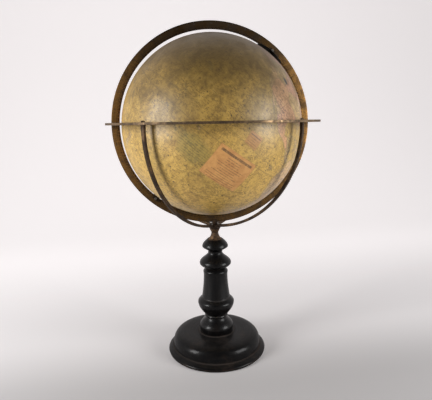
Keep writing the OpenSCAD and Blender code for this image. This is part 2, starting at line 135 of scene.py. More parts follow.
def set_values(piece, name, values):
    attribute = piece.data.attributes.new(name, "FLOAT", "POINT")
    attribute.data.foreach_set("value", np.asarray(values, np.float32))


def turned(name, outline, steps=180, spacing=1.7, softened=0.35):
    """A solid spun round the upright axis from an outline in millimetres that starts
    and ends on the axis. Its corners and grooves are kept as values on its points."""
    fine = [outline[0]]
    for start, end in zip(outline, outline[1:]):
        parts = max(1, math.ceil(math.dist(start, end) / spacing))
        fine += [
            (start[0] + (end[0] - start[0]) * i / parts, start[1] + (end[1] - start[1]) * i / parts)
            for i in range(1, parts + 1)
        ]
    piece = one_vertex(name, (fine[0][0] * MM, 0, fine[0][1] * MM))
    for start, end in zip(fine, fine[1:]):
        step = ((end[0] - start[0]) * MM, 0, (end[1] - start[1]) * MM)
        bpy.ops.mesh.extrude_region_move(TRANSFORM_OT_translate={"value": step})
    spin_all(steps, 2 * math.pi, (0, 0, 0), (0, 0, 1), 1e-5)
    bpy.ops.mesh.normals_make_consistent(inside=False)
    mode("OBJECT")
    bevel(piece, softened, 34)
    smooth(piece)
    corners, grooves = [], []
    for before, here, after in zip(outline, outline[1:], outline[2:]):
        u = Vector((here[0] - before[0], here[1] - before[1]))
        v = Vector((after[0] - here[0], after[1] - here[1]))
        turn = math.atan2(u.x * v.y - u.y * v.x, u.dot(v))
        off_axis = here[0] > 1
        if off_axis and abs(turn) > math.radians(20):
            (corners if turn > 0 else grooves).append(here)
    place = points_of(piece) / MM
    radius = np.hypot(place[:, 0], place[:, 1])
    for label, marks, reach in (("corner", corners, 1.5), ("groove", grooves, 2.2)):
        value = np.zeros(len(place))
        for r, z in marks:
            value = np.maximum(value, np.exp(-((radius - r) ** 2 + (place[:, 2] - z) ** 2) / reach**2))
        set_values(piece, label, value)
    return piece


rim_wide = (base_r, rim_h * 0.38)
rim_top = (tier_r + 1.2, rim_h)
tier_low = (tier_r - 0.8, rim_h + 0.6)
tier_wide = (tier_r, rim_h + 1.2)
upright, flatness = 5.4, 3.1
base_outline = [(0, recess_h), (recess_r, recess_h), (recess_r, 0)]
base_outline += [(base_r - 2.4, 0), (base_r - 0.8, rim_wide[1] / 3), rim_wide]
base_outline += swell(rim_wide, rim_top)
base_outline += [(rim_top[0] - 0.8, rim_h), tier_low, tier_wide]
dome_steps, dome_h = 48, base_h - 0.8 - tier_wide[1]
for i in range(1, dome_steps + 1):
    turn = math.pi / 2 * i / dome_steps
    out = max(math.cos(turn), 0) ** (2 / upright)
    rise = math.sin(turn) ** (2 / flatness)
    base_outline.append((foot_edge + (tier_r - foot_edge) * out, tier_wide[1] + dome_h * rise))
base_outline += [(foot_edge - 0.8, base_h), (foot_edge - 2, base_h), (0, base_h)]
plinth = turned("plinth_turning", base_outline, steps=240, spacing=2.2)


def add_node(tree, kind, feeds=None, **settings):
    """One shader node with its settings and what feeds its sockets."""
    node = tree.nodes.new("ShaderNode" + kind)
    for key, value in settings.items():
        setattr(node, key, value)
    for socket, value in (feeds or {}).items():
        feed(node, socket, value)
    return node


def compute(operation, a, b=0.5, c=0.5, clamp=False):
    """One Math node, in the tree of the first of its values that is a socket."""
    tree = next(value for value in (a, b, c) if isinstance(value, bpy.types.NodeSocket)).id_data
    return add_node(tree, "Math", {0: a, 1: b, 2: c}, operation=operation, use_clamp=clamp).outputs[0]


def in_turn(operation, first, *others, clamp=False):
    """The operation on all the values from the left; clamp holds the last result to 0-1."""
    for other in others:
        first = compute(operation, first, other, clamp=clamp and other is others[-1])
    return first


plus, times, highest = (partial(in_turn, name) for name in ("ADD", "MULTIPLY", "MAXIMUM"))


def axes(vector):
    return add_node(vector.id_data, "SeparateXYZ", {0: vector}).outputs


def feed(node, socket, value):
    """Links or sets one input of a node."""
    if isinstance(value, bpy.types.NodeSocket):
        value.id_data.links.new(value, node.inputs[socket])
    else:
        node.inputs[socket].default_value = value


def ramp(value, low, high, to_low=0.0, to_high=1.0):
    """Value carried smoothly from one range to another and held at its ends."""
    node = add_node(
        value.id_data,
        "MapRange",
        {"Value": value, "From Min": low, "From Max": high, "To Min": to_low, "To Max": to_high},
        interpolation_type="SMOOTHSTEP",
    )
    return node.outputs["Result"]


def blend_colours(share, first, second):
    """The first colour, carried over to the second by the share."""
    node = add_node(share.id_data, "Mix", {"Factor": share}, data_type="RGBA")
    for socket, value in ((6, first), (7, second)):
        feed(node, socket, value if isinstance(value, bpy.types.NodeSocket) else (*value, 1))
    return node.outputs[2]


def noise(vector, scale, detail=4.0, rough=0.6, distortion=0.0):
    feeds = {"Vector": vector, "Scale": scale, "Detail": detail, "Roughness": rough, "Distortion": distortion}
    return add_node(vector.id_data, "TexNoise", feeds).outputs["Fac"]


def effect_group(name, inputs, outputs):
    """A shader node group with named sockets: (its tree, its inputs, its output node)."""
    tree = bpy.data.node_groups.new(name, "ShaderNodeTree")
    for label, kind, value in inputs:
        socket = tree.interface.new_socket(name=label, in_out="INPUT", socket_type="NodeSocket" + kind)
        if value is not None:
            socket.default_value = value
    for label, kind in outputs:
        tree.interface.new_socket(name=label, in_out="OUTPUT", socket_type="NodeSocket" + kind)
    return tree, tree.nodes.new("NodeGroupInput").outputs, tree.nodes.new("NodeGroupOutput")


def use_group(tree, group, feeds):
    return add_node(tree, "Group", feeds, node_tree=group).outputs


def new_material(name):
    """A material with its node tree, its Principled shader and its Object coordinates."""
    material = bpy.data.materials.new(name)
    material.use_nodes = True
    tree = material.node_tree
    shader = tree.nodes["Principled BSDF"]
    return material, tree, shader, add_node(tree, "TexCoord").outputs["Object"]


def give(piece, material):
    if len(piece.material_slots) == 0:
        piece.data.materials.append(material)
    else:
        piece.material_slots[0].material = material


def dress(piece, material, body=None, node=None):
    """Material and slot; a new piece also rides a body and may replace one of the solids."""
    give(piece, material)
    if body:
        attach(piece, body)
    if node:
        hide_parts(node)


def bump(shader, height, strength, distance):
    node = add_node(shader.id_data, "Bump", {"Height": height, "Strength": strength, "Distance": distance})
    feed(shader, "Normal", node.outputs["Normal"])


# Pores and streaks of wood along one direction, shared by the turned pieces
grain_group, grain_in, grain_out = effect_group(
    "wood_grain",
    [("Vector", "Vector", None), ("Along", "Vector", (1, 1, 0.06)), ("Fineness", "Float", 900.0)],
    [("Streaks", "Float"), ("Pores", "Float")],
)
feeds = {0: grain_in["Vector"], 1: grain_in["Along"]}
lengthways = add_node(grain_group, "VectorMath", feeds, operation="MULTIPLY").outputs[0]
feed(grain_out, "Pores", noise(lengthways, grain_in["Fineness"], 5, 0.65, 0.4))
coarse = times(grain_in["Fineness"], 0.16)
feed(grain_out, "Streaks", noise(lengthways, coarse, 4, 0.6, 0.8))

# Fine rings that the turning tool and the polishing cloth leave round the axis
rings_group, rings_in, rings_out = effect_group(
    "lathe_rings", [("Vector", "Vector", None), ("Fineness", "Float", 700.0)], [("Rings", "Float")]
)
parts = axes(rings_in["Vector"])
reach = compute("SQRT", plus(times(parts[0], parts[0]), times(parts[1], parts[1])))
feeds = {0: reach, 1: times(parts[0], 0.05), 2: parts[2]}
round_about = add_node(rings_group, "CombineXYZ", feeds).outputs[0]
feed(rings_out, "Rings", noise(round_about, rings_in["Fineness"], 3, 0.7))


def ebonised_wood(name, along, dusty, polish, sheen, worn):
    """Black-stained hardwood under shellac: brown where corners are rubbed, dusty in grooves."""
    material, tree, shader, place = new_material(name)
    grain = use_group(tree, grain_group, {"Vector": place, "Along": along})
    rings = use_group(tree, rings_group, {"Vector": place})["Rings"]
    corner = add_node(tree, "Attribute", attribute_name="corner").outputs["Fac"]
    groove = add_node(tree, "Attribute", attribute_name="groove").outputs["Fac"]
    patches = noise(place, 38, 6, 0.7, 0.3)
    streaks = ramp(grain["Streaks"], 0.35, 0.75)
    black = blend_colours(streaks, (0.0020, 0.0019, 0.0021), (0.0055, 0.0048, 0.0045))
    rubbed = times(ramp(plus(corner, times(patches, 1.3)), 1.30, 1.85), worn, clamp=True)
    brown = blend_colours(rubbed, black, (0.030, 0.017, 0.012))
    brown = blend_colours(times(ramp(patches, 0.52, 0.8), 0.6 * worn), brown, (0.030, 0.019, 0.014))
    settled = times(ramp(plus(groove, times(rings, 0.5)), 0.55, 1.3), dusty, clamp=True)
    face = axes(add_node(tree, "NewGeometry").outputs["Normal"])[2]
    lying = times(ramp(face, 0.75, 1.0), times(ramp(patches, 0.3, 0.8), 0.55 * dusty))
    dust = highest(settled, lying)
    feed(shader, "Base Color", blend_colours(dust, brown, (0.045, 0.039, 0.035)))
    gloss = plus(ramp(rings, 0.3, 0.75, polish, polish + 0.16), times(dust, 0.45), clamp=True)
    feed(shader, "Roughness", gloss)
    feed(shader, "Specular IOR Level", sheen)
    feed(shader, "Coat Roughness", 0.17)
    feed(shader, "Coat Weight", ramp(plus(dust, times(rubbed, 0.4)), 0.0, 0.6, 0.13, 0.0))
    height = plus(times(rings, 0.6), times(grain["Pores"], 0.5))
    bump(shader, height, 0.35, 0.00025)
    return material


plinth_black = ebonised_wood("ebonised_plinth", (0.10, 1, 1), 0.6, 0.36, 0.07, 1.0)
dress(plinth, plinth_black, "stand", "base_plinth")

# Column
# Three turned hardwood pieces joined by tenons: the flared foot, the tapered
# shaft over its bulb, and the head with two knops. Stained and shellacked.
foot_z, shaft_z, head_z, neck_z = 38.0, 67.0, 164.4, 221.0
groove_in, shaft_r = 5.0, 22.85


def double_curve(a, b, late=1.0, count=18):
    """S curve, upright at both ends; late above 1 keeps to the first radius for longer."""
    return [
        (
            a[0] + (b[0] - a[0]) * (1 - math.cos(math.pi * (i / count) ** late)) / 2,
            a[1] + (b[1] - a[1]) * i / count,
        )
        for i in range(1, count + 1)
    ]


foot_wide_h = (shaft_z - foot_z) * 0.3
foot_wide = (32.7, foot_z + foot_wide_h)
foot_outline = [(0, foot_z), (31.0, foot_z), (32.4, foot_wide[1] - foot_wide_h * 0.15), foot_wide]
foot_outline += double_curve(foot_wide, (20.7, shaft_z), 1.2, 24) + [(0, shaft_z)]
foot = turned("foot_turning", foot_outline)

bead, dip = (22.1, shaft_z + 2.5), (21.2, shaft_z + 5)
bulb_h = 38.9
bulb, crown = (34.9, shaft_z + bulb_h * 0.778), (27.55, shaft_z + bulb_h)
low, thin = (27.05, shaft_z + bulb_h + 1), (shaft_r, head_z - 12)
collar, shaft_top = (23.5, head_z - 6), (shaft_r - groove_in, head_z)
shaft_outline = [(0, shaft_z), (20.7, shaft_z)]
shaft_outline += double_curve((20.7, shaft_z), bead, count=8) + double_curve(bead, dip, count=8)
shaft_outline += swell(dip, bulb, 26) + swell(bulb, crown) + [low]
taper_steps = 20
for i in range(1, taper_steps + 1):
    inward = (low[0] - thin[0]) * math.sin(math.pi / 2 * i / taper_steps)
    shaft_outline.append((low[0] - inward, low[1] + (thin[1] - low[1]) * i / taper_steps))
shaft_outline += double_curve(thin, collar, count=8) + swell(collar, shaft_top, 12) + [(0, head_z)]
shaft = turned("shaft_turning", shaft_outline)

head_h = neck_z - head_z
lower, upper = (30.1, head_z + head_h * 0.19), (24.6, head_z + head_h * 0.762)
waist = (13.5, head_z + head_h * 0.557)
head_outline = [(0, head_z), shaft_top]
head_outline += swell(head_outline[1], lower, 20) + double_curve(lower, waist, 1.11, 24)
head_outline += double_curve(waist, upper, 1.39, 24) + swell(upper, (15.5, neck_z), 20) + [(0, neck_z)]
head = turned("head_turning", head_outline)

column_black = ebonised_wood("ebonised_column", (1, 1, 0.07), 0.35, 0.32, 0.14, 0.4)
for piece, node in ((foot, "column_foot"), (shaft, "column_shaft"), (head, "column_head")):
    dress(piece, column_black, "stand", node)

# Tie rod
# Iron rod from the recess under the base up into the brass neck, with a washer
# and a hexagon nut, which draw the turned pieces together. Black, a little rusty.


def spotted(name, scale, detail, colour_range, tones, rough, metal=0.0, relief=None):
    """A material that follows one fine noise. A tuple for rough or metal is the ramp's range."""
    material, tree, shader, place = new_material(name)
    spots = noise(place, scale, detail, 0.7)
    share = ramp(spots, *colour_range) if colour_range else spots
    feed(shader, "Base Color", blend_colours(share, *tones))
    for socket, value in (("Roughness", rough), ("Metallic", metal)):
        feed(shader, socket, ramp(spots, *value) if isinstance(value, tuple) else value)
    if relief:
        bump(shader, spots, *relief)
    return material


iron = spotted(
    "black_iron",
    260,
    6,
    (0.48, 0.7),
    ((0.035, 0.033, 0.032), (0.14, 0.055, 0.025)),
    rough=(0.4, 0.7, 0.42, 0.8),
    metal=(0.45, 0.65, 0.85, 0.15),
    relief=(0.4, 0.0003),
)
for name in ("tie_rod", "tie_washer", "tie_nut"):
    dress(nodes[name], iron)

# Neck and hub
# Brass neck with a cove above its flange, turned and screwed on the rod, and the
# hub that takes the arms. Both have gone brown, brighter where hands rub them.
hub_z, hub_top = 241.8, 249.8
flange_r, flange_t, hub_r, hub_low_r, cove_steps = 13.5, 1.6, 11.3, 9.5, 16
neck_outline = [(0, neck_z), (flange_r, neck_z), (flange_r, neck_z + flange_t), (hub_r, neck_z + flange_t)]
neck_cove, neck_waist = neck_outline[-1], (6.6, neck_z + (hub_z - neck_z) * 0.62)
for i in range(1, cove_steps + 1):
    outward = (neck_cove[0] - neck_waist[0]) * (1 - math.sin(math.pi / 2 * i / cove_steps))
    up = (neck_waist[1] - neck_cove[1]) * i / cove_steps
    neck_outline.append((neck_waist[0] + outward, neck_cove[1] + up))
neck_outline += double_curve(neck_waist, (hub_low_r, hub_z), count=14) + [(0, hub_z)]
neck = turned("neck_turning", neck_outline, steps=96, spacing=1.2, softened=0.25)
hub_outline = [(0, hub_z), (hub_low_r, hub_z)] + swell((hub_low_r, hub_z), (hub_r, hub_z + 3.2), 8)
hub_outline += [(hub_r, hub_top - 0.8), (hub_r - 0.8, hub_top), (0, hub_top)]
hub = turned("hub_turning", hub_outline, steps=96, spacing=1.2, softened=0.25)

# Brown patina over brass, in clouds and small spots, shared by all the brasswork
patina_group, patina_in, patina_out = effect_group(
    "brass_patina",
    [
        ("Vector", "Vector", None),
        ("Bright", "Color", (0.42, 0.24, 0.09, 1)),
        ("Brown", "Color", (0.10, 0.055, 0.025, 1)),
        ("Rubbed", "Float", 0.5),
    ],
    [("Color", "Color"), ("Rough", "Float"), ("Metal", "Float"), ("Height", "Float")],
)
clouds = noise(patina_in["Vector"], 45, 6, 0.68, 0.5)
spots = noise(patina_in["Vector"], 420, 4, 0.75)
share = plus(clouds, times(spots, 0.45))
share = ramp(plus(share, times(patina_in["Rubbed"], 0.4)), 0.68, 1.12)
tone = blend_colours(share, patina_in["Brown"], patina_in["Bright"])
dark_spots = ramp(spots, 0.60, 0.72)
tone = blend_colours(times(dark_spots, 0.55), tone, (0.02, 0.013, 0.008))
feed(patina_out, "Color", tone)
feed(patina_out, "Rough", ramp(share, 0.0, 1.0, 0.62, 0.36))
feed(patina_out, "Metal", ramp(share, 0.0, 0.8, 0.45, 0.9))
feed(patina_out, "Height", plus(spots, clouds))


def aged_brass(name, bright, brown, rubbed, finish=True):
    """Patinated brass; without its finish the caller still gives it colour and relief."""
    material, tree, shader, place = new_material(name)
    feeds = {"Vector": place, "Bright": (*bright, 1), "Brown": (*brown, 1), "Rubbed": rubbed}
    patina = use_group(tree, patina_group, feeds)
    feed(shader, "Roughness", patina["Rough"])
    feed(shader, "Metallic", patina["Metal"])
    feed(shader, "Specular IOR Level", 0.2)
    if finish:
        feed(shader, "Base Color", patina["Color"])
        bump(shader, patina["Height"], 0.25, 0.0002)
    return material, tree, shader, place, patina


coppery = aged_brass("coppery_neck", (0.26, 0.15, 0.075), (0.028, 0.017, 0.011), 0.22)[0]
stand_brass = aged_brass("stand_brass", (0.12, 0.072, 0.036), (0.024, 0.015, 0.010), 0.2)[0]
for piece, node, finish in ((neck, "neck_socket", coppery), (hub, "arm_hub", stand_brass)):
    dress(piece, finish, "stand", node)

# Arms
# Four flat brass bars bent to a quarter circle, screwed into the hub, each with a
# thicker upright end and a stud that passes up through the horizon ring.
arm_w, arm_t, arm_corner = 6.0, 5.0, 0.7
arm_reach, arm_straight, horizon_low = 174.5, 4.6, 436.7
arc_z = horizon_low - arm_straight
arc_r = arc_z - (hub_top - arm_t / 2)
arc_x = arm_reach - arc_r
start_angle = math.acos((5.5 - arc_x) / arc_r)


def apply_place(piece):
    only(piece)
    bpy.ops.object.transform_apply(location=True, rotation=True, scale=True)


def join_into(piece, others):
    """Joins the others to the piece, which stays the active one."""
    only(piece)
    for other in others:
        other.select_set(True)
    bpy.ops.object.join()


def in_edit(piece):
    only(piece)
    mode("EDIT")


def select_faces(piece, wanted):
    """Selects the faces for which wanted(centre, normal) is true; leaves edit mode on."""
    in_edit(piece)
    bpy.ops.mesh.select_mode(type="FACE")
    points_selected("DESELECT")
    mode("OBJECT")
    for face in piece.data.polygons:
        face.select = bool(wanted(face.center, face.normal))
    mode("EDIT")


arm = new_plane("arm_bar_front_left")
mode("EDIT")
points_selected()
bpy.ops.transform.resize(value=(arm_t * MM, arm_w * MM, 1), center_override=(0, 0, 0))
bpy.ops.mesh.bevel(offset=arm_corner * MM, affect="VERTICES", segments=2)
points_selected()
bpy.ops.transform.translate(value=(arm_reach * MM, 0, arc_z * MM))
spin_all(72, -start_angle, (arc_x * MM, 0, arc_z * MM), (0, 1, 0), 1e-6)
mode("OBJECT")
bent = points_of(arm)
if bent[:, 2].min() > arc_z * MM - 0.01:
    raise RuntimeError("the arm was bent the wrong way")
in_edit(arm)
points_selected()
bpy.ops.mesh.select_mode(type="EDGE")
points_selected("DESELECT")
bpy.ops.mesh.select_non_manifold()
bpy.ops.mesh.edge_face_add()
points_selected()
bpy.ops.mesh.normals_make_consistent(inside=False)
mode("OBJECT")

select_faces(arm, lambda centre, normal: normal.z > 0.9 and abs(centre.z - arc_z * MM) < 1e-5)
bpy.ops.transform.resize(value=(1.08, 1.067, 1), center_override=(arm_reach * MM, 0, arc_z * MM))
bpy.ops.mesh.extrude_region_move(TRANSFORM_OT_translate={"value": (0, 0, arm_straight * MM)})
mode("OBJECT")
nothing_selected()
stud_r, stud_h, stud_top = 1.8, 7.0, horizon_low + 6.4
stud_place = (arm_reach * MM, 0, (stud_top - stud_h / 2) * MM)
bpy.ops.mesh.primitive_cylinder_add(vertices=32, radius=stud_r * MM, depth=stud_h * MM, location=stud_place)
stud = bpy.context.object
apply_place(stud)
bevel(stud, 0.4, 40)
join_into(arm, [stud])
smooth(arm, 30)
for name, turn in (("front_right", 315), ("back_left", 135), ("back_right", 45), ("front_left", 225)):
    one = arm
    if name != "front_left":
        one = arm.copy()
        one.data = arm.data.copy()
        bpy.context.scene.collection.objects.link(one)
        one.name = one.data.name = "arm_bar_" + name
    one.rotation_euler = (0, 0, math.radians(turn))
    apply_place(one)
    dress(one, stand_brass, "stand", "arm_" + name)

steel_tones, steel_rough = ((0.36, 0.33, 0.29), (0.13, 0.105, 0.085)), (0.4, 0.7, 0.28, 0.55)
steel = spotted("dulled_steel", 500, 5, (0.42, 0.66), steel_tones, steel_rough, 1.0, (0.2, 0.0002))
dress(nodes["arm_screws"], steel)

# Horizon ring
# Flat brass ring with two notches for the meridian ring, held on the arms' studs by
# small nuts. Its top is divided into degrees between engraved circles.
horizon_ri, horizon_ro, horizon_t = 166.0, 189.6, 3.8
horizon_z = horizon_low + horizon_t / 2


def ring_band(name, inner, outer, thick, centre, axis, corner, steps=288):
    """A flat ring of rectangular section with eased corners, spun round the given axis."""
    half, middle = (outer - inner) / 2 * MM, (outer + inner) / 2 * MM
    ring = new_plane(name, rotation=(math.pi / 2, 0, 0))
    apply_place(ring)
    mode("EDIT")
    points_selected()
    bpy.ops.mesh.subdivide(number_cuts=3)
    bpy.ops.transform.resize(value=((outer - inner) * MM, 1, thick * MM), center_override=(0, 0, 0))
    bpy.ops.transform.translate(value=(middle, 0, 0))
    bpy.ops.mesh.delete(type="ONLY_FACE")
    points_selected("DESELECT")
    mode("OBJECT")
    for vertex in ring.data.vertices:
        off_side = abs(abs(vertex.co.x - middle) - half) > 1e-6
        vertex.select = off_side and abs(abs(vertex.co.z) - thick / 2 * MM) > 1e-6
    mode("EDIT")
    bpy.ops.mesh.delete(type="VERT")
    spin_all(steps, 2 * math.pi, (0, 0, 0), (0, 0, 1), 1e-6)
    bpy.ops.mesh.normals_make_consistent(inside=False)
    mode("OBJECT")
    bevel(ring, corner, 60)
    upright_to_axis = Vector((0, 0, 1)).rotation_difference(Vector(axis)).to_matrix().to_4x4()
    ring.matrix_world = Matrix.Translation([v * MM for v in centre]) @ upright_to_axis
    apply_place(ring)
    smooth(ring, 30)
    return ring


horizon = ring_band("horizon_plate", horizon_ri, horizon_ro, horizon_t, (0, 0, horizon_z), (0, 0, 1), 0.4)
notch_reach, notch_w = 180.3, 7
notches = (2 * notch_reach * MM, notch_w * MM, 0.02)
nothing_selected()
bpy.ops.mesh.primitive_cube_add(size=1, location=(0, 0, horizon_z * MM), scale=notches)
cutter = bpy.context.object
apply_place(cutter)
apply_modifier(horizon, "BOOLEAN", operation="DIFFERENCE", object=cutter, solver="EXACT")
bpy.data.objects.remove(cutter)
smooth(horizon, 30)

# Engraved scale on a ring: lines along its edges and one stroke for each degree,
# longer at every fifth, read from the angle and radius about the ring's centre
scale_group, scale_in, scale_out = effect_group(
    "engraved_scale",
    [
        ("Across", "Float", 0.0),
        ("Round", "Float", 0.0),
        ("Inner", "Float", 0.1),
        ("Outer", "Float", 0.12),
        ("Band", "Float", 0.004),
    ],
    [("Lines", "Float"), ("Blocks", "Float")],
)

minus, is_under, is_over = (partial(in_turn, name) for name in ("SUBTRACT", "LESS_THAN", "GREATER_THAN"))
size_of = partial(compute, "ABSOLUTE")


def near(value, target, width):
    """1 where the value is within the width of the target."""
    return compute("COMPARE", value, target, width)


def repeats(value, every, width):
    """1 along thin strokes that come back at each step of the value."""
    return is_under(size_of(compute("WRAP", value, every / 2, -every / 2)), width)


across, degrees = scale_in["Across"], times(scale_in["Round"], 180 / math.pi)
edge_gap = 0.0011
outer_line = minus(scale_in["Outer"], edge_gap)
inner_line = plus(scale_in["Inner"], edge_gap)
scale_line = plus(inner_line, scale_in["Band"])
half_line = plus(inner_line, times(scale_in["Band"], 0.5))
circles = highest(near(across, outer_line, 0.00022), near(across, inner_line, 0.00022))
circles = highest(circles, near(across, scale_line, 0.00018))
circles = highest(circles, near(across, half_line, 0.00014))
in_scale = times(is_over(across, inner_line), is_under(across, scale_line))
in_long = times(is_over(across, inner_line), is_under(across, plus(scale_line, 0.0012)))
strokes = times(repeats(degrees, 1, 0.05), in_scale)
strokes = highest(strokes, times(repeats(degrees, 5, 0.08), in_long))
feed(scale_out, "Lines", highest(circles, strokes))
odd = is_over(compute("WRAP", degrees, 2, 0), 1)
in_blocks = times(is_over(across, inner_line), is_under(across, half_line))
feed(scale_out, "Blocks", times(odd, in_blocks))


def stretched(vector, scale, place=(0, 0, 0), turn=(0, 0, 0), kind="POINT"):
    feeds = {"Vector": vector, "Location": place, "Rotation": turn, "Scale": scale}
    return add_node(vector.id_data, "Mapping", feeds, vector_type=kind).outputs["Vector"]


def engraved_brass(name, centre, turn, plane, sizes, tones, rubbed, top_dark=0.0, foot_dark=0.0):
    """Aged brass with an engraved scale on its flat faces, about the given centre."""
    inner, outer, band = sizes
    material, tree, shader, place, patina = aged_brass(name, *tones, rubbed, finish=False)
    local = stretched(place, (1, 1, 1), [v * MM for v in centre], turn, "TEXTURE")
    parts = axes(local)
    first, second = (parts[i] for i in plane[:2])
    squares = plus(times(first, first), times(second, second))
    feeds = {"Across": compute("SQRT", squares), "Round": compute("ARCTAN2", second, first)}
    feeds |= {"Inner": inner * MM, "Outer": outer * MM, "Band": band * MM}
    marks = use_group(tree, scale_group, feeds)
    normal = axes(add_node(tree, "NewGeometry").outputs["Normal"])
    flat = is_over(size_of(normal[1 if plane[2] == 1 else 2]), 0.95)
    lines = times(marks["Lines"], flat)
    height = axes(place)[2]
    # Darker towards the top and the foot of the piece, set by height alone
    darker_top_and_foot = plus(ramp(height, 0.50, 0.60, 0, top_dark), ramp(height, 0.27, 0.38, foot_dark, 0), clamp=True)
    blocks = times(marks["Blocks"], flat, 0.6)
    tone = blend_colours(blocks, patina["Color"], (0.03, 0.018, 0.01))
    tone = blend_colours(darker_top_and_foot, tone, (0.012, 0.008, 0.005))
    feed(shader, "Base Color", blend_colours(lines, tone, (0.012, 0.008, 0.006)))
    bump(shader, minus(times(patina["Height"], 0.3), lines), 0.3, 0.0002)
    return material


horizon_brass = engraved_brass(
    "horizon_brass",
    (0, 0, horizon_z),
    (0, 0, 0),
    (0, 1, 2),
    (horizon_ri, horizon_ro, 5),
    ((0.26, 0.17, 0.09), (0.05, 0.033, 0.020)),
    0.3,
)
dress(horizon, horizon_brass, "stand", "horizon_ring")
dress(nodes["horizon_nuts"], stand_brass)


def figures(name, marks, size, material, body):
    """Small thin figures in one mesh that rides a body: marks is a list of (text, where it lies)."""
    made = []
    for text, lie in marks:
        nothing_selected()
        bpy.ops.object.text_add(location=(0, 0, 0))
        one = bpy.context.object
        one.data.body = text
        one.data.size = size * MM
        one.data.extrude = 0.04 * MM
        one.data.resolution_u = 2
        one.data.align_x = one.data.align_y = "CENTER"
        bpy.ops.object.convert(target="MESH")
        one = bpy.context.object
        one.data.transform(lie)
        made.append(one)
    join_into(made[0], made[1:])
    piece = bpy.context.object
    piece.name = piece.data.name = name
    piece.data.materials.clear()
    dress(piece, material, body)


filling = (0.012, 0.009, 0.007), (0.05, 0.03, 0.018)
engraving = spotted("engraving_black", 900, 4, (0.5, 0.7), filling, rough=(0.3, 0.7, 0.5, 0.75))
top, figures_r = (horizon_z + horizon_t / 2) * MM, 177.5
marks = []
for bearing in range(0, 360, 10):
    from_notch = min(bearing % 180, 180 - bearing % 180)
    if from_notch < 5 or abs(bearing % 90 - 45) < 4:
        continue
    lie = Matrix.Rotation(math.radians(bearing), 4, "Z") @ Matrix.Translation((figures_r * MM, 0, top))
    lie = lie @ Matrix.Rotation(math.radians(90), 4, "Z")
    marks.append((str(90 - from_notch), lie))
figures("horizon_figures", marks, 4.2, engraving, "stand")

# Cradle
# Short brass post with a fork at its top, bolted down through the hub. The meridian
# ring rests in the fork and slides through it.
dress(nodes["meridian_cradle"], stand_brass)

# Meridian ring
# Full brass ring that carries the globe at its two poles. Its front face is divided
# into degrees, and it is nearly black towards its top and its foot.
meridian_ri, meridian_ro, meridian_t = 165.1, 179.3, 5.0
centre_z = 433.6
pole_lean = math.radians(40)
meridian = ring_band(
    "meridian_band", meridian_ri, meridian_ro, meridian_t, (0, 0, centre_z), (0, 1, 0), 0.8, steps=320
)
ring_turn = (0, pole_lean, 0)
meridian_brass = engraved_brass(
    "meridian_brass",
    (0, 0, centre_z),
    ring_turn,
    (0, 2, 1),
    (meridian_ri, meridian_ro, 4.2),
    ((0.44, 0.23, 0.065), (0.10, 0.055, 0.02)),
    0.3,
    top_dark=0.88,
    foot_dark=0.62,
)
dress(meridian, meridian_brass, "meridian", "meridian_ring")

to_axis = Matrix.Translation((0, 0, centre_z * MM)) @ Matrix.Rotation(pole_lean, 4, "Y")
face_out = Matrix(((1, 0, 0, 0), (0, 0, -1, 0), (0, 1, 0, 0), (0, 0, 0, 1)))
figures_r = 174.6
marks = []
for from_pole in range(0, 360, 10):
    latitude = abs(90 - from_pole % 180)
    if latitude > 85:
        continue
    lie = to_axis @ Matrix.Rotation(math.radians(from_pole), 4, "Y")
    lie = lie @ Matrix.Translation((0, -meridian_t / 2 * MM, figures_r * MM))
    marks.append((str(latitude), lie @ face_out))
figures("meridian_figures", marks, 4.0, engraving, "meridian")

# Pivots
# Brass blocks that straddle the ring at the poles, each held by a steel screw and
# nut across it, with a steel pin that runs in a brass bush in the globe.
pivot_brass = aged_brass("pivot_brass", (0.10, 0.06, 0.03), (0.02, 0.013, 0.008), 0.1)[0]
for name in ("north_pivot_block", "south_pivot_block", "north_pole_bush", "south_pole_bush"):
    dress(nodes[name], pivot_brass)
for name in ("north_pivot_pin", "south_pivot_pin", "pivot_screws", "pivot_nuts"):
    dress(nodes[name], steel)

# Hour dial
# Thin brass disc between the globe and the ring at the north pole, blackened with
# age, divided into twice twelve hours, and turned by hand on the pin.
dial_low, dial_t, dial_r = 160.25, 1.5, 27.5
dial_top, dial_ease, boss_r = dial_low + dial_t, 0.4, 4.5
dial_outline = [(0, dial_low - 0.3), (boss_r, dial_low - 0.3), (boss_r, dial_low)]
dial_outline += [(dial_r - dial_ease, dial_low), (dial_r, dial_low + dial_ease)]
dial_outline += [(dial_r, dial_top - dial_ease), (dial_r - dial_ease, dial_top), (6, dial_top)]
dial_outline += [(boss_r, dial_top + 0.9), (0, dial_top + 0.9)]
dial = turned("hour_plate", dial_outline, steps=128, spacing=1.5, softened=0.12)
dial.data.transform(to_axis)
dial_tones = (0.035, 0.024, 0.015), (0.008, 0.006, 0.005)
material, tree, shader, place, patina = aged_brass("dial_black", *dial_tones, 0.0, finish=False)
local = stretched(place, (1, 1, 1), (0, 0, centre_z * MM), ring_turn, "TEXTURE")
parts = axes(local)
squares = plus(times(parts[0], parts[0]), times(parts[1], parts[1]))
out_from_pin = compute("SQRT", squares)
hours = times(compute("ARCTAN2", parts[1], parts[0]), 12 / math.pi)
outermost, middle_circle, innermost = 0.0262, 0.0235, 0.0165
in_hours = times(is_over(out_from_pin, middle_circle), is_under(out_from_pin, outermost))
cuts = times(repeats(hours, 0.25, 0.018), in_hours)
for radius in (outermost, middle_circle, innermost):
    cuts = highest(cuts, near(out_from_pin, radius, 0.00016))
cuts = times(cuts, is_over(parts[2], (dial_low + 1) * MM))
feed(shader, "Base Color", blend_colours(cuts, patina["Color"], (0.30, 0.20, 0.10)))
bump(shader, minus(times(patina["Height"], 0.4), cuts), 0.3, 0.0002)
dress(dial, material, "dial", "hour_dial")

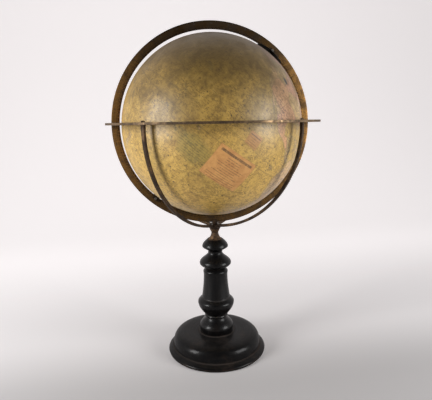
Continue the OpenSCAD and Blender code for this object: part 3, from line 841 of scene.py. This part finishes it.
bare_brass = (0.33, 0.22, 0.11), (0.12, 0.075, 0.04)
pale_figures = spotted("bright_figures", 900, 4, (0.45, 0.7), bare_brass, rough=0.5, metal=0.7)
marks = []
for hour in range(24):
    lie = to_axis @ Matrix.Rotation(math.radians(15 * hour), 4, "Z")
    lie = lie @ Matrix.Translation((0, 20 * MM, dial_top * MM))
    marks.append((str((hour + 11) % 12 + 1), lie))
figures("hour_figures", marks, 3.6, pale_figures, "dial")

# Globe shells
# Two papier-mache half balls joined at the equator and covered with printed paper
# gores: coasts, countries in faded tints and a net of lines, under brown varnish.
globe_r, wall, pole_hole_r = 160.0, 5.0, 5.6
axis_slip = 3.2
first_longitude = -128
lands = {
    "north_america": (
        "-168,66 -164,63 -161,59 -158,57 -164,55 -156,57 -152,59 -149,60 -144,60 -139,59 -134,57 -130,54"
        " -127,51 -124,48 -124,43 -123,39 -121,36 -118,34 -117,32 -115,29 -113,27 -110,23 -112,27 -114,31"
        " -112,29 -109,26 -106,22 -105,20 -101,17 -96,16 -93,15 -90,13.5 -87,12.5 -85,10 -83,8.5 -80,7.5"
        " -79,9 -77,8 -79.5,9.5 -83,11 -83.5,15 -88,16 -88,20 -87,21.5 -90,21.5 -91,18.5 -95,18.5 -97.5,22"
        " -97,26 -95,29 -90,29.5 -84,30 -82.5,28 -81,25.5 -80,27 -81,31 -76,35 -76,38 -74,40 -70,41.5"
        " -70,44 -66,44.5 -64,45 -60,46.5 -65,47.5 -65,49 -60,50 -56,52 -58,55 -62,57.5 -64,60 -69,59"
        " -70,61 -77,62.5 -78,58 -79,53 -80,51.5 -83,55 -88,56.5 -94,59 -94,62 -88,64 -86,67 -92,68.5"
        " -95,71.5 -102,68 -110,68 -118,70 -128,70 -135,69 -142,70 -156,71 -163,69"
    ),
    "south_america": (
        "-77,8 -75,11 -72,12 -68,11 -62,10.5 -57,6.5 -51,4 -50,0 -44,-2.5 -38,-4 -35,-7 -37,-12 -39,-16"
        " -41,-22 -46,-24 -49,-28 -53,-33 -57,-36 -58,-38 -62,-39 -65,-42 -66,-46 -69,-51 -68,-54 -72,-54"
        " -75,-50 -74,-45 -73,-38 -71,-31 -70,-24 -70,-18 -76,-14 -79,-8 -81,-5 -80,0 -78,2 -77,6"
    ),
    "greenland": "-73,78 -60,76 -54,71 -52,65 -45,60 -40,65 -24,70 -18,76 -20,81 -35,83.5 -60,82",
    "baffin": "-80,73 -70,70 -62,66 -66,62.5 -74,65 -78,69 -88,71",
    "ellesmere": "-90,77 -75,78 -62,82.5 -80,83 -92,81",
    "victoria": "-117,73 -105,73 -102,69 -115,69",
    "banks": "-125,74 -117,76 -116,72.5 -123,71.5",
    "eurasia": (
        "-9,37 -9,43 -2,43.5 -1,46 -4.5,48.5 1,50 4,52 8,54 8,57 10,57.5 10,55 13,54.5 19,54.5 21,57 24,59"
        " 29,60 23,60 22,63 25,65.5 22,65.5 17,61 18,59.5 16,56.5 13,55.5 11,59 7,58 5,61 10,64 15,68 20,70"
        " 28,71 40,67.5 35,66.5 38,64 44,66 44,68 54,68.5 60,69.5 68,69 67,72.5 72,72.5 73,68 78,72 88,75"
        " 100,76.5 105,77.5 113,74 130,71.5 140,72.5 152,71 160,70 170,69.5 180,69 187,67 190,66 187,64.5"
        " 180,65 177,62.5 170,60 163,59.5 162,56 157,51 156,57 163,61.5 156,61.5 152,59.5 143,59.3 136,55"
        " 141,53 140,48 135,44 130,42.5 128,39.5 129.5,36 126.5,34.5 126,38 122,40 121,39 118,39 121,37.5"
        " 120,35 122,31 121,28 118,24.5 114,22.5 110,21 108,21.5 106,19 109,13 107,10.5 105,8.5 105,11"
        " 100,13.5 99.5,9.5 103,5.5 104,1.5 101,3 98,8.5 98,15 94,16 94,19 91,22.5 87,21.5 82,16.5 80,13"
        " 80,10 77.5,8 76,11 73,16 72.5,21 70,21 67,25 62,25.3 57,26.5 51,28 48.5,30 50,27 51,25 56,26"
        " 59.5,22.5 57,19 52,16 45,13 43,13 42,17 39,21 35,28 34,31 36,36 30,36.5 27,37 27,40 30,41 36,41.5"
        " 41,41.5 38,45 35,46 35,44.5 33,45.5 30,46.5 28,44 29,41 26,40.5 23,40 24,38 22.5,36.5 20,39.5"
        " 19,42 13.5,45.5 12.5,44 16,41.5 18.5,40 16.5,38.5 16,40 12,42 9,44 6,43 3,43 3,41.5 0,39.5 -2,37"
        " -5.5,36"
    ),
    "africa": (
        "32.5,30 34,28 37,22 39,16 43,12 51,12 48,5 43,-1 39,-6 40,-14 35,-20 33,-26 28,-33 20,-35 18,-33"
        " 15,-27 12,-18 13.5,-11 12,-5 9,0 9.5,4 5,4.5 0,5.5 -8,4.5 -13,8 -17,14 -17,21 -13,27 -10,31"
        " -6,35.5 3,37 10,37.5 11,34 15,32.5 20,31 22,33 30,31.5 33.5,31.5"
    ),
    "madagascar": "49,-12 50,-16 47,-25 44,-25 43.5,-21 44.5,-16",
    "britain": "-5,50 1,51 1.5,53 -2,56 -3,58.5 -6,57.5 -5,54.5 -3,53.5 -5,52",
    "ireland": "-10,52 -6,52.5 -6,55 -9.5,54.5",
    "iceland": "-22,64 -14,65 -16,66.5 -23,66",
    "novaya": "52,71 57,71 68,76.5 62,76",
    "svalbard": "12,78 20,77 25,80 12,80",
    "honshu": "131,34 135,33.6 140,35.5 141.5,39 141,41.3 139.5,38.5 136.5,37 133,35.5",
    "hokkaido": "140,42 143,42 145.5,43.5 142,45.4",
    "kyushu": "130,31.3 132,33 130,34",
    "sakhalin": "142,46 143.5,49.5 142.8,54 142,52",
    "formosa": "120,23 121,22 121.8,25",
    "luzon": "120,16 122,14 124,13 122,18.5 120.5,18",
    "mindanao": "122,7 125.5,6 126.5,8.5 125,9.8 123,8.5",
    "visayas": "123,10 125,11.5 124.5,12.5 122,11.5",
    "borneo": "109,1.5 111,-3 114.5,-4 116.5,-2 118,1 119,5 116.8,7 113,3.2",
    "sumatra": "95.3,5.6 98.5,3.8 103.5,-1 106,-3.5 105.5,-5.9 102,-4 98.5,1",
    "java": "105.2,-6.8 108,-6.7 114.5,-7.8 114,-8.7 108,-7.8",
    "celebes": "119.5,-5.5 120.5,-2.5 123,-1 121,-1 120,0.5 123.5,0.5 125,1.5 121,1.3 119.3,-1.5 119,-3.5",
    "new_guinea": (
        "131,-0.8 134.5,-0.8 138,-1.7 142,-3 147.5,-6 150.5,-10.5 147,-9.5 143,-9 138,-8 137.8,-5.3 133,-4"
        " 134,-2.4"
    ),
    "new_britain": "148.5,-5.7 152,-4.3 151.5,-5.8",
    "solomons": "155,-6 160.5,-9.5 161.5,-10.6 158,-8.3",
    "caledonia": "164,-20.2 167,-22.2 166.3,-22.4",
    "north_zealand": "173,-34.8 175.5,-37 178.4,-37.8 176.8,-40 175,-41.5 174,-39.4 175,-37.5",
    "south_zealand": "172.7,-40.7 174.2,-41.8 171,-44.5 170.7,-46 168,-46.7 166.7,-45.8 170,-43",
    "tasmania": "145,-41 148.3,-41 147.5,-43.5 146,-43.5",
    "australia": (
        "114,-22 114,-26 115.5,-31 115,-34.3 118,-35 124,-33.5 129,-31.7 132,-32 135.5,-34.8 137.8,-33"
        " 138,-35.5 140,-38 144,-38.3 146.5,-39 150,-37.3 151.5,-33 153.5,-28.5 152.5,-25 149,-21 146,-18.8"
        " 145.5,-15 142.5,-10.8 141.5,-14 140.5,-17.6 137,-16 135.5,-12.3 132,-11.3 130,-13 128.5,-15"
        " 125,-14.5 122,-18 119,-20"
    ),
    "ceylon": "80,9.5 81.8,7.5 80.5,6",
    "cuba": "-85,22 -80,23 -74.5,20.2 -77.5,19.9 -80,21.8",
    "haiti": "-74.3,18.4 -71,17.8 -68.5,18.6 -70,19.8 -73,19.9",
    "newfoundland": "-59,47.7 -53,47 -55.5,50 -56,51.5",
    "vancouver": "-128,50.5 -123.5,48.4 -125,48.8",
    "antarctica": (
        "-180,-78 -150,-77 -120,-73 -100,-73 -75,-71 -62,-65 -60,-72 -45,-78 -25,-76 0,-70 30,-69 60,-67"
        " 90,-66.5 120,-67 150,-68.5 170,-72 165,-77 180,-78 180,-90 -180,-90"
    ),
}
# Small islands as longitude, latitude and half width in degrees
islets = (
    "-155.5,19.6,.7 -156.5,20.8,.4 -158,21.5,.35 -159.5,22.1,.3 -149.5,-17.6,.45 -151.4,-16.6,.3"
    " -139.2,-9.8,.4 -140.1,-8.9,.35 -145,-15.5,.35 -147.5,-15.2,.3 -143,-17,.3 -140.8,-18.4,.3"
    " -138,-19,.25 -172.4,-13.6,.45 -171.7,-13.9,.35 -175.2,-21.2,.35 -159.8,-21.2,.3 -152,-23,.25"
    " -149.4,-23.4,.25 -130,-25,.3 -109.4,-27.1,.35 -91,-.5,.6 -89.6,-.9,.35 -157.4,1.9,.3 -160,4,.2"
    " -168,-.5,.2 -165,-10.5,.25 -161,-10,.25 179.2,-16.6,.5 166.9,-.5,.2 158.2,6.9,.4 163,5.3,.25"
    " 151.8,7.4,.3 144.8,13.5,.4 145.7,15.2,.3 142.2,27,.25 168.3,-17.7,.5 167,-15.3,.55 173,1.4,.3"
    " 171.2,7.1,.3 -176,-30,.25 -176.5,-44,.35 -127,53,.5 -132.3,53.3,.8 -153.5,57.4,.8 -166.5,53.8,.6"
    " -170,52.8,.4 -175,52,.35 -78.8,-33.6,.3 -115,28.5,.3 -130,-24,.2 -59,-51.7,1 -36.5,-54.4,.7"
    " -25.5,37.8,.4 -16.5,28.3,.5 -24,15,.5 55.5,-21.1,.4 57.5,-20.3,.35 69.5,-49.3,.9 96.8,-12.2,.25"
    " 73,3,.3 14,37.5,1.1 9,40,1.1 24.8,35.2,.8 33,35,.7 -61,14.5,.4 -61.3,10.4,.45 -66.4,18.2,.7"
    " -77.5,18.1,.8"
)
globe_centre = (0, 0, centre_z) - axis_slip * np.array((math.sin(pole_lean), 0, math.cos(pole_lean)))
globe_place = Vector([v * MM for v in globe_centre])
to_globe = Matrix.Translation(globe_place) @ Matrix.Rotation(pole_lean, 4, "Y")


def on_ball(longitude, latitude):
    """Unit vector in the globe's own frame, its axis upright and the first meridian in front."""
    east, north = math.radians(longitude - first_longitude), math.radians(latitude)
    level = math.cos(north)
    return np.array((math.sin(east) * level, -math.cos(east) * level, math.sin(north)), np.float32)


def lying_at(longitude, latitude):
    """The direction out of the ball there, and the turn that lays x east, y north and z outward."""
    out = Vector([float(v) for v in on_ball(longitude, latitude)])
    east = Vector((0, 0, 1)).cross(out).normalized()
    return out, Matrix((east, out.cross(east), out)).transposed()


def degrees_inside(spot):
    """Degrees from each spot to the nearest coast, above 0 on land, and a tint for its land."""
    longitude = np.degrees(np.arctan2(spot[:, 0], -spot[:, 1])) + first_longitude
    longitude = (longitude + 180) % 360 - 180
    latitude = np.degrees(np.arcsin(np.clip(spot[:, 2], -1, 1)))
    far = 9.0
    best, tint = np.full(len(spot), -far, np.float32), np.zeros(len(spot), np.float32)
    for number, outline in enumerate(lands.values()):
        corners = [tuple(float(v) for v in pair.split(",")) for pair in outline.split()]
        away, inside = np.full(len(spot), far, np.float32), np.zeros(len(spot), bool)
        for (x0, y0), (x1, y1) in zip(corners, corners[1:] + corners[:1]):
            # Sides that only close an outline at the map's edge are no coast
            if abs(x1 - x0) < 300 and not (y0 == y1 == -90) and not (abs(x0) == 180 and x0 == x1):
                a, b = on_ball(x0, y0), on_ball(x1, y1)
                along = np.clip((spot - a) @ (b - a) / max(float((b - a) @ (b - a)), 1e-9), 0, 1)
                gap = spot - a - along[:, None] * (b - a)
                away = np.minimum(away, np.degrees(np.sqrt(np.einsum("ij,ij->i", gap, gap))))
            if y0 != y1:
                for shift in (-360, 0, 360):
                    x = longitude + shift
                    between = (latitude > min(y0, y1)) & (latitude <= max(y0, y1))
                    inside ^= between & (x < x0 + (latitude - y0) * (x1 - x0) / (y1 - y0))
        signed = np.where(inside, away, -away)
        tint = np.where(signed > best, (number * 0.37) % 1, tint)
        best = np.maximum(best, signed)
    for islet in islets.split():
        x, y, width = (float(v) for v in islet.split(","))
        away = np.degrees(np.arccos(np.clip(spot @ on_ball(x, y), -1, 1)))
        tint = np.where(width - away > best, 0.6, tint)
        best = np.maximum(best, width - away)
    return best, tint


over = partial(in_turn, "DIVIDE")


def length_of(vector):
    return add_node(vector.id_data, "VectorMath", {0: vector}, operation="LENGTH").outputs["Value"]


def along_direction(vector, direction):
    feeds = {0: vector, 1: direction}
    return add_node(vector.id_data, "VectorMath", feeds, operation="DOT_PRODUCT").outputs["Value"]


def cells(vector, scale, feature="F1"):
    """A Voronoi texture's outputs."""
    feeds = {"Vector": vector, "Scale": scale, "Randomness": 1.0}
    return add_node(vector.id_data, "TexVoronoi", feeds, feature=feature).outputs


def chance_of(cell):
    """One random number for each cell."""
    return add_node(cell["Color"].id_data, "SeparateColor", {0: cell["Color"]}).outputs[0]


shells = []
for name, side in (("north_shell", 1), ("south_shell", -1)):
    nothing_selected()
    bpy.ops.mesh.primitive_uv_sphere_add(
        segments=360, ring_count=180, radius=globe_r * MM, location=(0, 0, 0)
    )
    shell = bpy.context.object
    shell.name = shell.data.name = name
    select_faces(
        shell,
        lambda centre, normal: centre.z * side < 0 or math.hypot(centre.x, centre.y) < pole_hole_r * MM,
    )
    bpy.ops.mesh.delete(type="FACE")
    bpy.ops.mesh.select_mode(type="VERT")
    mode("OBJECT")
    coast, tint = degrees_inside(points_of(shell) / (globe_r * MM))
    set_values(shell, "coast", coast)
    set_values(shell, "tint", tint)
    apply_modifier(shell, "SOLIDIFY", thickness=wall * MM, offset=-1.0)
    shell.data.transform(to_globe)
    smooth(shell, 40)
    shells.append(shell)

paper, tree, shader, place = new_material("varnished_map_paper")
local = stretched(place, (1, 1, 1), globe_place, ring_turn, "TEXTURE")
parts = axes(local)
latitude = times(compute("ARCSINE", over(parts[2], length_of(local))), 180 / math.pi)
longitude = times(compute("ARCTAN2", parts[0], times(parts[1], -1)), 180 / math.pi)
round_pole = compute("COSINE", times(latitude, math.pi / 180))
coast = add_node(tree, "Attribute", attribute_name="coast").outputs["Fac"]
tint = add_node(tree, "Attribute", attribute_name="tint").outputs["Fac"]
crumbs = noise(local, 110, 9, 0.72)
coast = plus(coast, times(minus(crumbs, 0.5), 2.6))
land = ramp(coast, -0.06, 0.06)

# Paper under varnish: cloudy yellow and brown, darker and greyer towards the top by painted shade further
# down
clouds = noise(local, 9, 5, 0.6, 0.4)
stains = noise(local, 34, 6, 0.7, 0.6)
sea = blend_colours(ramp(clouds, 0.35, 0.68), (0.62, 0.385, 0.082), (0.42, 0.267, 0.055))
region_tint = chance_of(cells(local, 26.0))
faded = add_node(tree, "ValToRGB", {0: compute("WRAP", plus(tint, times(region_tint, 0.8)), 1, 0)})
stops = faded.color_ramp.elements
stops[0].position, stops[0].color = 0.0, (0.54, 0.29, 0.135, 1)
stops[1].position, stops[1].color = 1.0, (0.56, 0.37, 0.15, 1)
stops.new(0.25).color = (0.58, 0.275, 0.155, 1)
stops.new(0.5).color = (0.47, 0.33, 0.125, 1)
stops.new(0.75).color = (0.58, 0.36, 0.15, 1)
ground = blend_colours(land, sea, faded.outputs["Color"])
shallow = ramp(size_of(plus(coast, 0.45)), 0.15, 0.5, 0.35, 0.0)
ground = blend_colours(shallow, ground, (0.16, 0.16, 0.075))
ground = blend_colours(times(ramp(stains, 0.5, 0.75), 0.6), ground, (0.235, 0.13, 0.036))
mottle = noise(local, 150, 9, 0.82, 0.3)
ground = blend_colours(ramp(mottle, 0.46, 0.60, 0, 0.58), ground, (0.155, 0.084, 0.024))
ground = blend_colours(ramp(mottle, 0.36, 0.47, 0.42, 0), ground, (0.64, 0.45, 0.15))

# Printed lines: coasts, countries, meridians and parallels, the sun's path, currents
shore = ramp(size_of(coast), 0.03, 0.13, 1, 0)
borders = cells(local, 26.0, "DISTANCE_TO_EDGE")["Distance"]
borders = times(ramp(borders, 0.012, 0.03, 0.6, 0), land)
parallels = repeats(latitude, 10, 0.05)
meridians = repeats(longitude, 10, over(0.05, highest(round_pole, 0.12)))
meridians = times(meridians, is_under(size_of(latitude), 80))
net = times(highest(parallels, meridians), 0.55)
equator = times(near(size_of(latitude), 0.35, 0.06), 0.8)
ticks = times(repeats(longitude, 1, 0.06), is_under(size_of(latitude), 0.35))
equator = highest(equator, ticks)
path_tilt, path_turn = math.radians(13), math.radians(261)
level = math.sin(path_tilt)
pole_of_path = (level * math.cos(path_turn), level * math.sin(path_turn), math.cos(path_tilt))
off_path = along_direction(local, pole_of_path)
path_shift = 0.0739
off_path = size_of(minus(off_path, path_shift * globe_r * MM))
sun_path = highest(ramp(off_path, 0.0002, 0.0006, 0.8, 0), ramp(off_path, 0.0005, 0.0024, 0.26, 0))
drift = noise(stretched(local, (1, 1, 1.8)), 11, 2, 0.5, 1.2)
currents = repeats(drift, 0.035, 0.0022)
in_currents = times(ramp(noise(local, 7, 2, 0.5), 0.5, 0.6), ramp(coast, -3, -1.5, 1, 0))
currents = times(currents, in_currents, 0.5)
printed = shore
for layer in (borders, net, equator, sun_path, currents):
    printed = highest(printed, layer)

# Rows of tiny strokes where names are printed, and faint wrinkles along the gores
rows = noise(stretched(local, (1, 1, 2.6)), 230, 2, 0.6)
clusters = ramp(noise(local, 42, 3, 0.6), 0.36, 0.52)
names = times(ramp(rows, 0.55, 0.60), clusters)
names = times(names, ramp(land, 0, 1, 0.75, 0.9))
printed = highest(printed, names)
worn_off = ramp(stains, 0.35, 0.6, 0.9, 0.5)
ground = blend_colours(times(printed, worn_off), ground, (0.055, 0.036, 0.020))
gores = repeats(longitude, 30, over(0.10, highest(round_pole, 0.12)))
ground = blend_colours(times(gores, 0.45), ground, (0.12, 0.075, 0.035))

# Brown specks, and painted shade that darkens the upper side of the ball and its middle towards the camera
specks = cells(local, 150.0)
speck = is_under(specks["Distance"], ramp(chance_of(specks), 0.72, 1.0, 0.0, 0.24))
ground = blend_colours(times(speck, 0.75), ground, (0.045, 0.028, 0.015))
above = along_direction(local, (-0.64, -0.25, 0.72))
painted_shade = ramp(plus(above, times(minus(stains, 0.5), 0.13)), -0.01, 0.15)
ground = blend_colours(times(painted_shade, 0.90), ground, (0.060, 0.034, 0.006))


def blot(longitude, latitude, wide, tall, lean, ragged):
    """1 inside an oval on the ball, its half sizes in mm, turned by lean from the parallel."""
    out, lie = lying_at(longitude, latitude)
    turn = (lie @ Matrix.Rotation(math.radians(lean), 3, "Z")).to_euler()
    oval = stretched(local, (wide * MM, tall * MM, 0.02), out * globe_r * MM, turn, "TEXTURE")
    reach = plus(length_of(oval), times(minus(stains, 0.5), ragged))
    return ramp(reach, 0.6, 1.1, 1, 0)


# A green-grey patch of damp on the open sea, and a small nearly black oval high on the ball
damp = times(blot(first_longitude - 8, -20, 36, 24, 0, 1.2), 0.5)
ground = blend_colours(damp, ground, (0.20, 0.165, 0.038))
combed = times(repeats(latitude, 1.33, 0.16), times(damp, ramp(mottle, 0.4, 0.6, 0.3, 1.3)))
ground = blend_colours(combed, ground, (0.07, 0.06, 0.03))
black_oval = blot(first_longitude + 20.5, 49.8, 7.5, 4.6, -38, 0.2)
ground = blend_colours(black_oval, ground, (0.006, 0.005, 0.004))
feed(shader, "Base Color", ground)
feed(shader, "Roughness", ramp(stains, 0.3, 0.75, 0.44, 0.60))
# The varnish coat is thinner where the shade is painted
coat = times(ramp(clouds, 0.3, 0.7, 0.42, 0.20), ramp(painted_shade, 0, 1, 1, 0.2))
feed(shader, "Coat Weight", coat)
feed(shader, "Coat Roughness", 0.36)
wrinkles = noise(stretched(local, (1, 1, 0.3)), 160, 4, 0.6)
height = minus(times(wrinkles, 0.5), plus(times(gores, 0.5), speck))
bump(shader, height, 0.25, 0.0003)
for shell, node in zip(shells, ("north_hemisphere", "south_hemisphere")):
    dress(shell, paper, "globe", node)

# Title labels
# Two slips of tan paper pasted on the open ocean, one large and one small, with
# ruled lines where their words would be.
lowest = partial(in_turn, "MINIMUM")


def pasted_label(name, size, longitude, latitude, lean, rows, title, light, dark):
    """A slip of paper shrunk on to the ball, with its own flat map for the ruled lines."""
    nothing_selected()
    bpy.ops.mesh.primitive_grid_add(
        x_subdivisions=28, y_subdivisions=24, size=1, location=(0, 0, 0), calc_uvs=True
    )
    width, height = size
    label = bpy.context.object
    label.name = label.data.name = name
    out, lie = lying_at(longitude, latitude)
    turned_label = lie.to_4x4() @ Matrix.Rotation(math.radians(lean), 4, "Z")
    turned_label = turned_label @ Matrix.Diagonal((width * MM, height * MM, 1, 1))
    label.data.transform(to_globe @ Matrix.Translation(out * globe_r * MM * 1.02) @ turned_label)
    nearest = shells[0] if latitude > 0 else shells[1]
    wrap = {"wrap_method": "NEAREST_SURFACEPOINT", "wrap_mode": "OUTSIDE_SURFACE", "offset": 0.22 * MM}
    apply_modifier(label, "SHRINKWRAP", target=nearest, **wrap)
    for vertex in label.data.vertices:
        vertex.co = globe_place + (vertex.co - globe_place).normalized() * (globe_r + 0.24) * MM
    apply_modifier(label, "SOLIDIFY", thickness=0.0003, offset=-1.0)
    smooth(label, 40)
    material, tree, shader, place = new_material(name + "_paper")
    page = add_node(tree, "UVMap").outputs["UV"]
    flat = axes(page)
    from_middle, from_centre = size_of(minus(flat[0], 0.5)), size_of(minus(flat[1], 0.5))
    fibres = noise(place, 90, 6, 0.7, 0.4)
    tone = blend_colours(ramp(fibres, 0.35, 0.7), light, dark)
    row = times(flat[1], rows)
    number = compute("FLOOR", row)
    inner = minus(row, number)
    feeds = {"W": plus(number, 0.37)}
    chance = add_node(tree, "TexWhiteNoise", feeds, noise_dimensions="1D").outputs["Value"]
    half = ramp(chance, 0, 1, 0.16, 0.40)
    ruled = times(is_under(size_of(minus(inner, 0.5)), 0.17), is_under(from_middle, half))
    broken = ramp(noise(stretched(page, (90, 12, 1)), 1.0, 2, 0.5), 0.42, 0.5)
    below = is_under(flat[1], title - 0.06)
    ruled = times(ruled, broken, below, 0.55)
    heading = times(near(flat[1], title + 0.02, 0.036), is_under(from_middle, 0.43))
    heading = times(heading, ramp(broken, 0, 1, 0.45, 1), 0.8)
    tone = blend_colours(highest(ruled, heading), tone, (0.06, 0.032, 0.018))
    edge = lowest(minus(0.5, from_middle), minus(0.5, from_centre))
    browned = ramp(plus(edge, times(fibres, 0.03)), 0.012, 0.03, 0.5, 0)
    tone = blend_colours(browned, tone, (0.20, 0.10, 0.04))
    feed(shader, "Base Color", tone)
    feed(shader, "Roughness", ramp(fibres, 0.3, 0.7, 0.42, 0.6))
    feed(shader, "Coat Weight", 0.3)
    feed(shader, "Coat Roughness", 0.3)
    bump(shader, fibres, 0.3, 0.0002)
    dress(label, material, "globe")


tan, dull_tan = ((0.62, 0.32, 0.10), (0.48, 0.22, 0.065)), ((0.46, 0.24, 0.070), (0.36, 0.17, 0.045))
pasted_label("title_label", (73, 59), first_longitude + 16.2, -17, 6, 15, 0.86, *tan)
pasted_label("small_label", (24, 25), first_longitude + 15.9, 3.2, 3, 7, 0.8, *dull_tan)

# Inside the ball
# Pasteboard band glued across the joint of the shells, and a pine post with a plate
# at each end that keeps the two poles apart. Neither shows from outside.
grey_brown = (0.36, 0.27, 0.16), (0.24, 0.17, 0.09)
board = spotted("raw_pasteboard", 300, 6, None, grey_brown, rough=0.9, relief=(0.4, 0.0003))
dress(nodes["seam_band"], board)
pine, tree, shader, place = new_material("plain_pine")
local = stretched(place, (1, 1, 1), globe_place, ring_turn, "TEXTURE")
grain = use_group(tree, grain_group, {"Vector": local, "Along": (1, 1, 0.05), "Fineness": 500.0})
tone = blend_colours(ramp(grain["Streaks"], 0.35, 0.7), (0.45, 0.29, 0.13), (0.30, 0.16, 0.06))
feed(shader, "Base Color", tone)
feed(shader, "Roughness", 0.7)
bump(shader, grain["Pores"], 0.3, 0.0003)
dress(nodes["axle_post"], pine)

# Floor, lamps and camera
# A pale sweep of paper that rises behind the object, two large soft lamps at its
# sides, and the camera a little above the horizon ring.
sweep = new_plane("paper_sweep")
mode("EDIT")
points_selected()
bpy.ops.transform.resize(value=(9, 6, 1), center_override=(0, 0, 0))
bpy.ops.transform.translate(value=(0, -0.5, 0))
bpy.ops.mesh.select_mode(type="EDGE")
points_selected("DESELECT")
mode("OBJECT")
for edge in sweep.data.edges:
    edge.select = all(sweep.data.vertices[v].co.y > 2 for v in edge.vertices)
mode("EDIT")
bpy.ops.mesh.extrude_region_move(TRANSFORM_OT_translate={"value": (0, 0, 5)})
mode("OBJECT")
apply_modifier(sweep, "BEVEL", width=1.6, segments=24, limit_method="ANGLE", angle_limit=math.radians(60))
smooth(sweep, 60)
material, tree, shader, place = new_material("sweep_paper")
parts = axes(place)
# The paper is painted darker towards the front, a painted shade for the lamps' falloff
tone = blend_colours(ramp(parts[1], -0.8, 2.2), (0.47, 0.455, 0.457), (0.72, 0.69, 0.69))
feed(shader, "Base Color", tone)
seen = add_node(tree, "LightPath").outputs
plain = highest(seen["Is Camera Ray"], seen["Is Glossy Ray"], seen["Is Transmission Ray"])
# For camera and mirror rays it glows, more towards the back: painted light on the backdrop
glow = plus(ramp(parts[1], -0.15, 0.08, 0, 0.27), ramp(parts[1], 0.0, 0.7, 0, 0.36))
glow = times(plain, times(glow, ramp(parts[0], -2.0, 2.5, 1.06, 0.98)))
feed(shader, "Emission Color", blend_colours(glow, (0, 0, 0), (1.0, 0.95, 0.955)))
feed(shader, "Emission Strength", 1.0)
feed(shader, "Roughness", 0.9)
feed(shader, "Specular IOR Level", 0.1)
give(sweep, material)

world = bpy.data.worlds.new("studio")
bpy.context.scene.world = world
world.use_nodes = True
tree = world.node_tree
seen = add_node(tree, "LightPath").outputs
background = tree.nodes["Background"]
toward = axes(add_node(tree, "TexCoord").outputs["Generated"])
mirrored = times(seen["Is Glossy Ray"], ramp(toward[1], -0.1, 0.5))
plain = highest(seen["Is Camera Ray"], seen["Is Transmission Ray"], mirrored)
room = times(ramp(toward[1], -0.9, 0.3, 0.07, 0.44), ramp(toward[2], 0.0, 0.9, 1.0, 0.45))
room = add_node(tree, "CombineColor", {0: room, 1: room, 2: room}).outputs[0]
feed(background, "Color", blend_colours(plain, room, (0.88, 0.86, 0.86)))

view_turn = math.radians(8.7)


def soft_lamp(name, bearing, distance, height, width, tall, watts):
    """A rectangular soft lamp, its bearing taken from the camera's side, aimed at the object."""
    light = bpy.data.lights.new(name, "AREA")
    light.shape = "RECTANGLE"
    light.size, light.size_y = width, tall
    light.energy = watts
    lamp = bpy.data.objects.new(name, light)
    bpy.context.scene.collection.objects.link(lamp)
    angle = view_turn - math.radians(bearing)
    lamp.location = (-math.sin(angle) * distance, -math.cos(angle) * distance, height)
    aim = Vector((0, 0, 0.36)) - lamp.location
    lamp.rotation_mode = "QUATERNION"
    lamp.rotation_quaternion = aim.to_track_quat("-Z", "Y")


soft_lamp("left_lamp", -61, 1.3, 0.62, 0.45, 0.8, 20)
soft_lamp("right_lamp", 65, 1.4, 0.56, 0.7, 0.8, 19.5)

bpy.context.scene.view_settings.view_transform = "Standard"
lens = bpy.data.cameras.new("camera")
focal_px, photo_px = 426.5, 432
lens.lens = focal_px / photo_px * lens.sensor_width
lens.clip_start = 0.01
camera = bpy.data.objects.new("camera", lens)
bpy.context.scene.collection.objects.link(camera)
bpy.context.scene.camera = camera
away, aside, eye_height = 0.7845, 0.0032, 0.4386
tilt, roll = math.radians(10.31), math.radians(0.98)
camera.location = (
    aside * math.cos(view_turn) - away * math.sin(view_turn),
    -aside * math.sin(view_turn) - away * math.cos(view_turn),
    eye_height,
)
level = math.cos(tilt)
look = Vector((math.sin(view_turn) * level, math.cos(view_turn) * level, -math.sin(tilt)))
camera.rotation_mode = "QUATERNION"
camera.rotation_quaternion = look.to_track_quat("-Z", "Y") @ Matrix.Rotation(-roll, 4, "Z").to_quaternion()
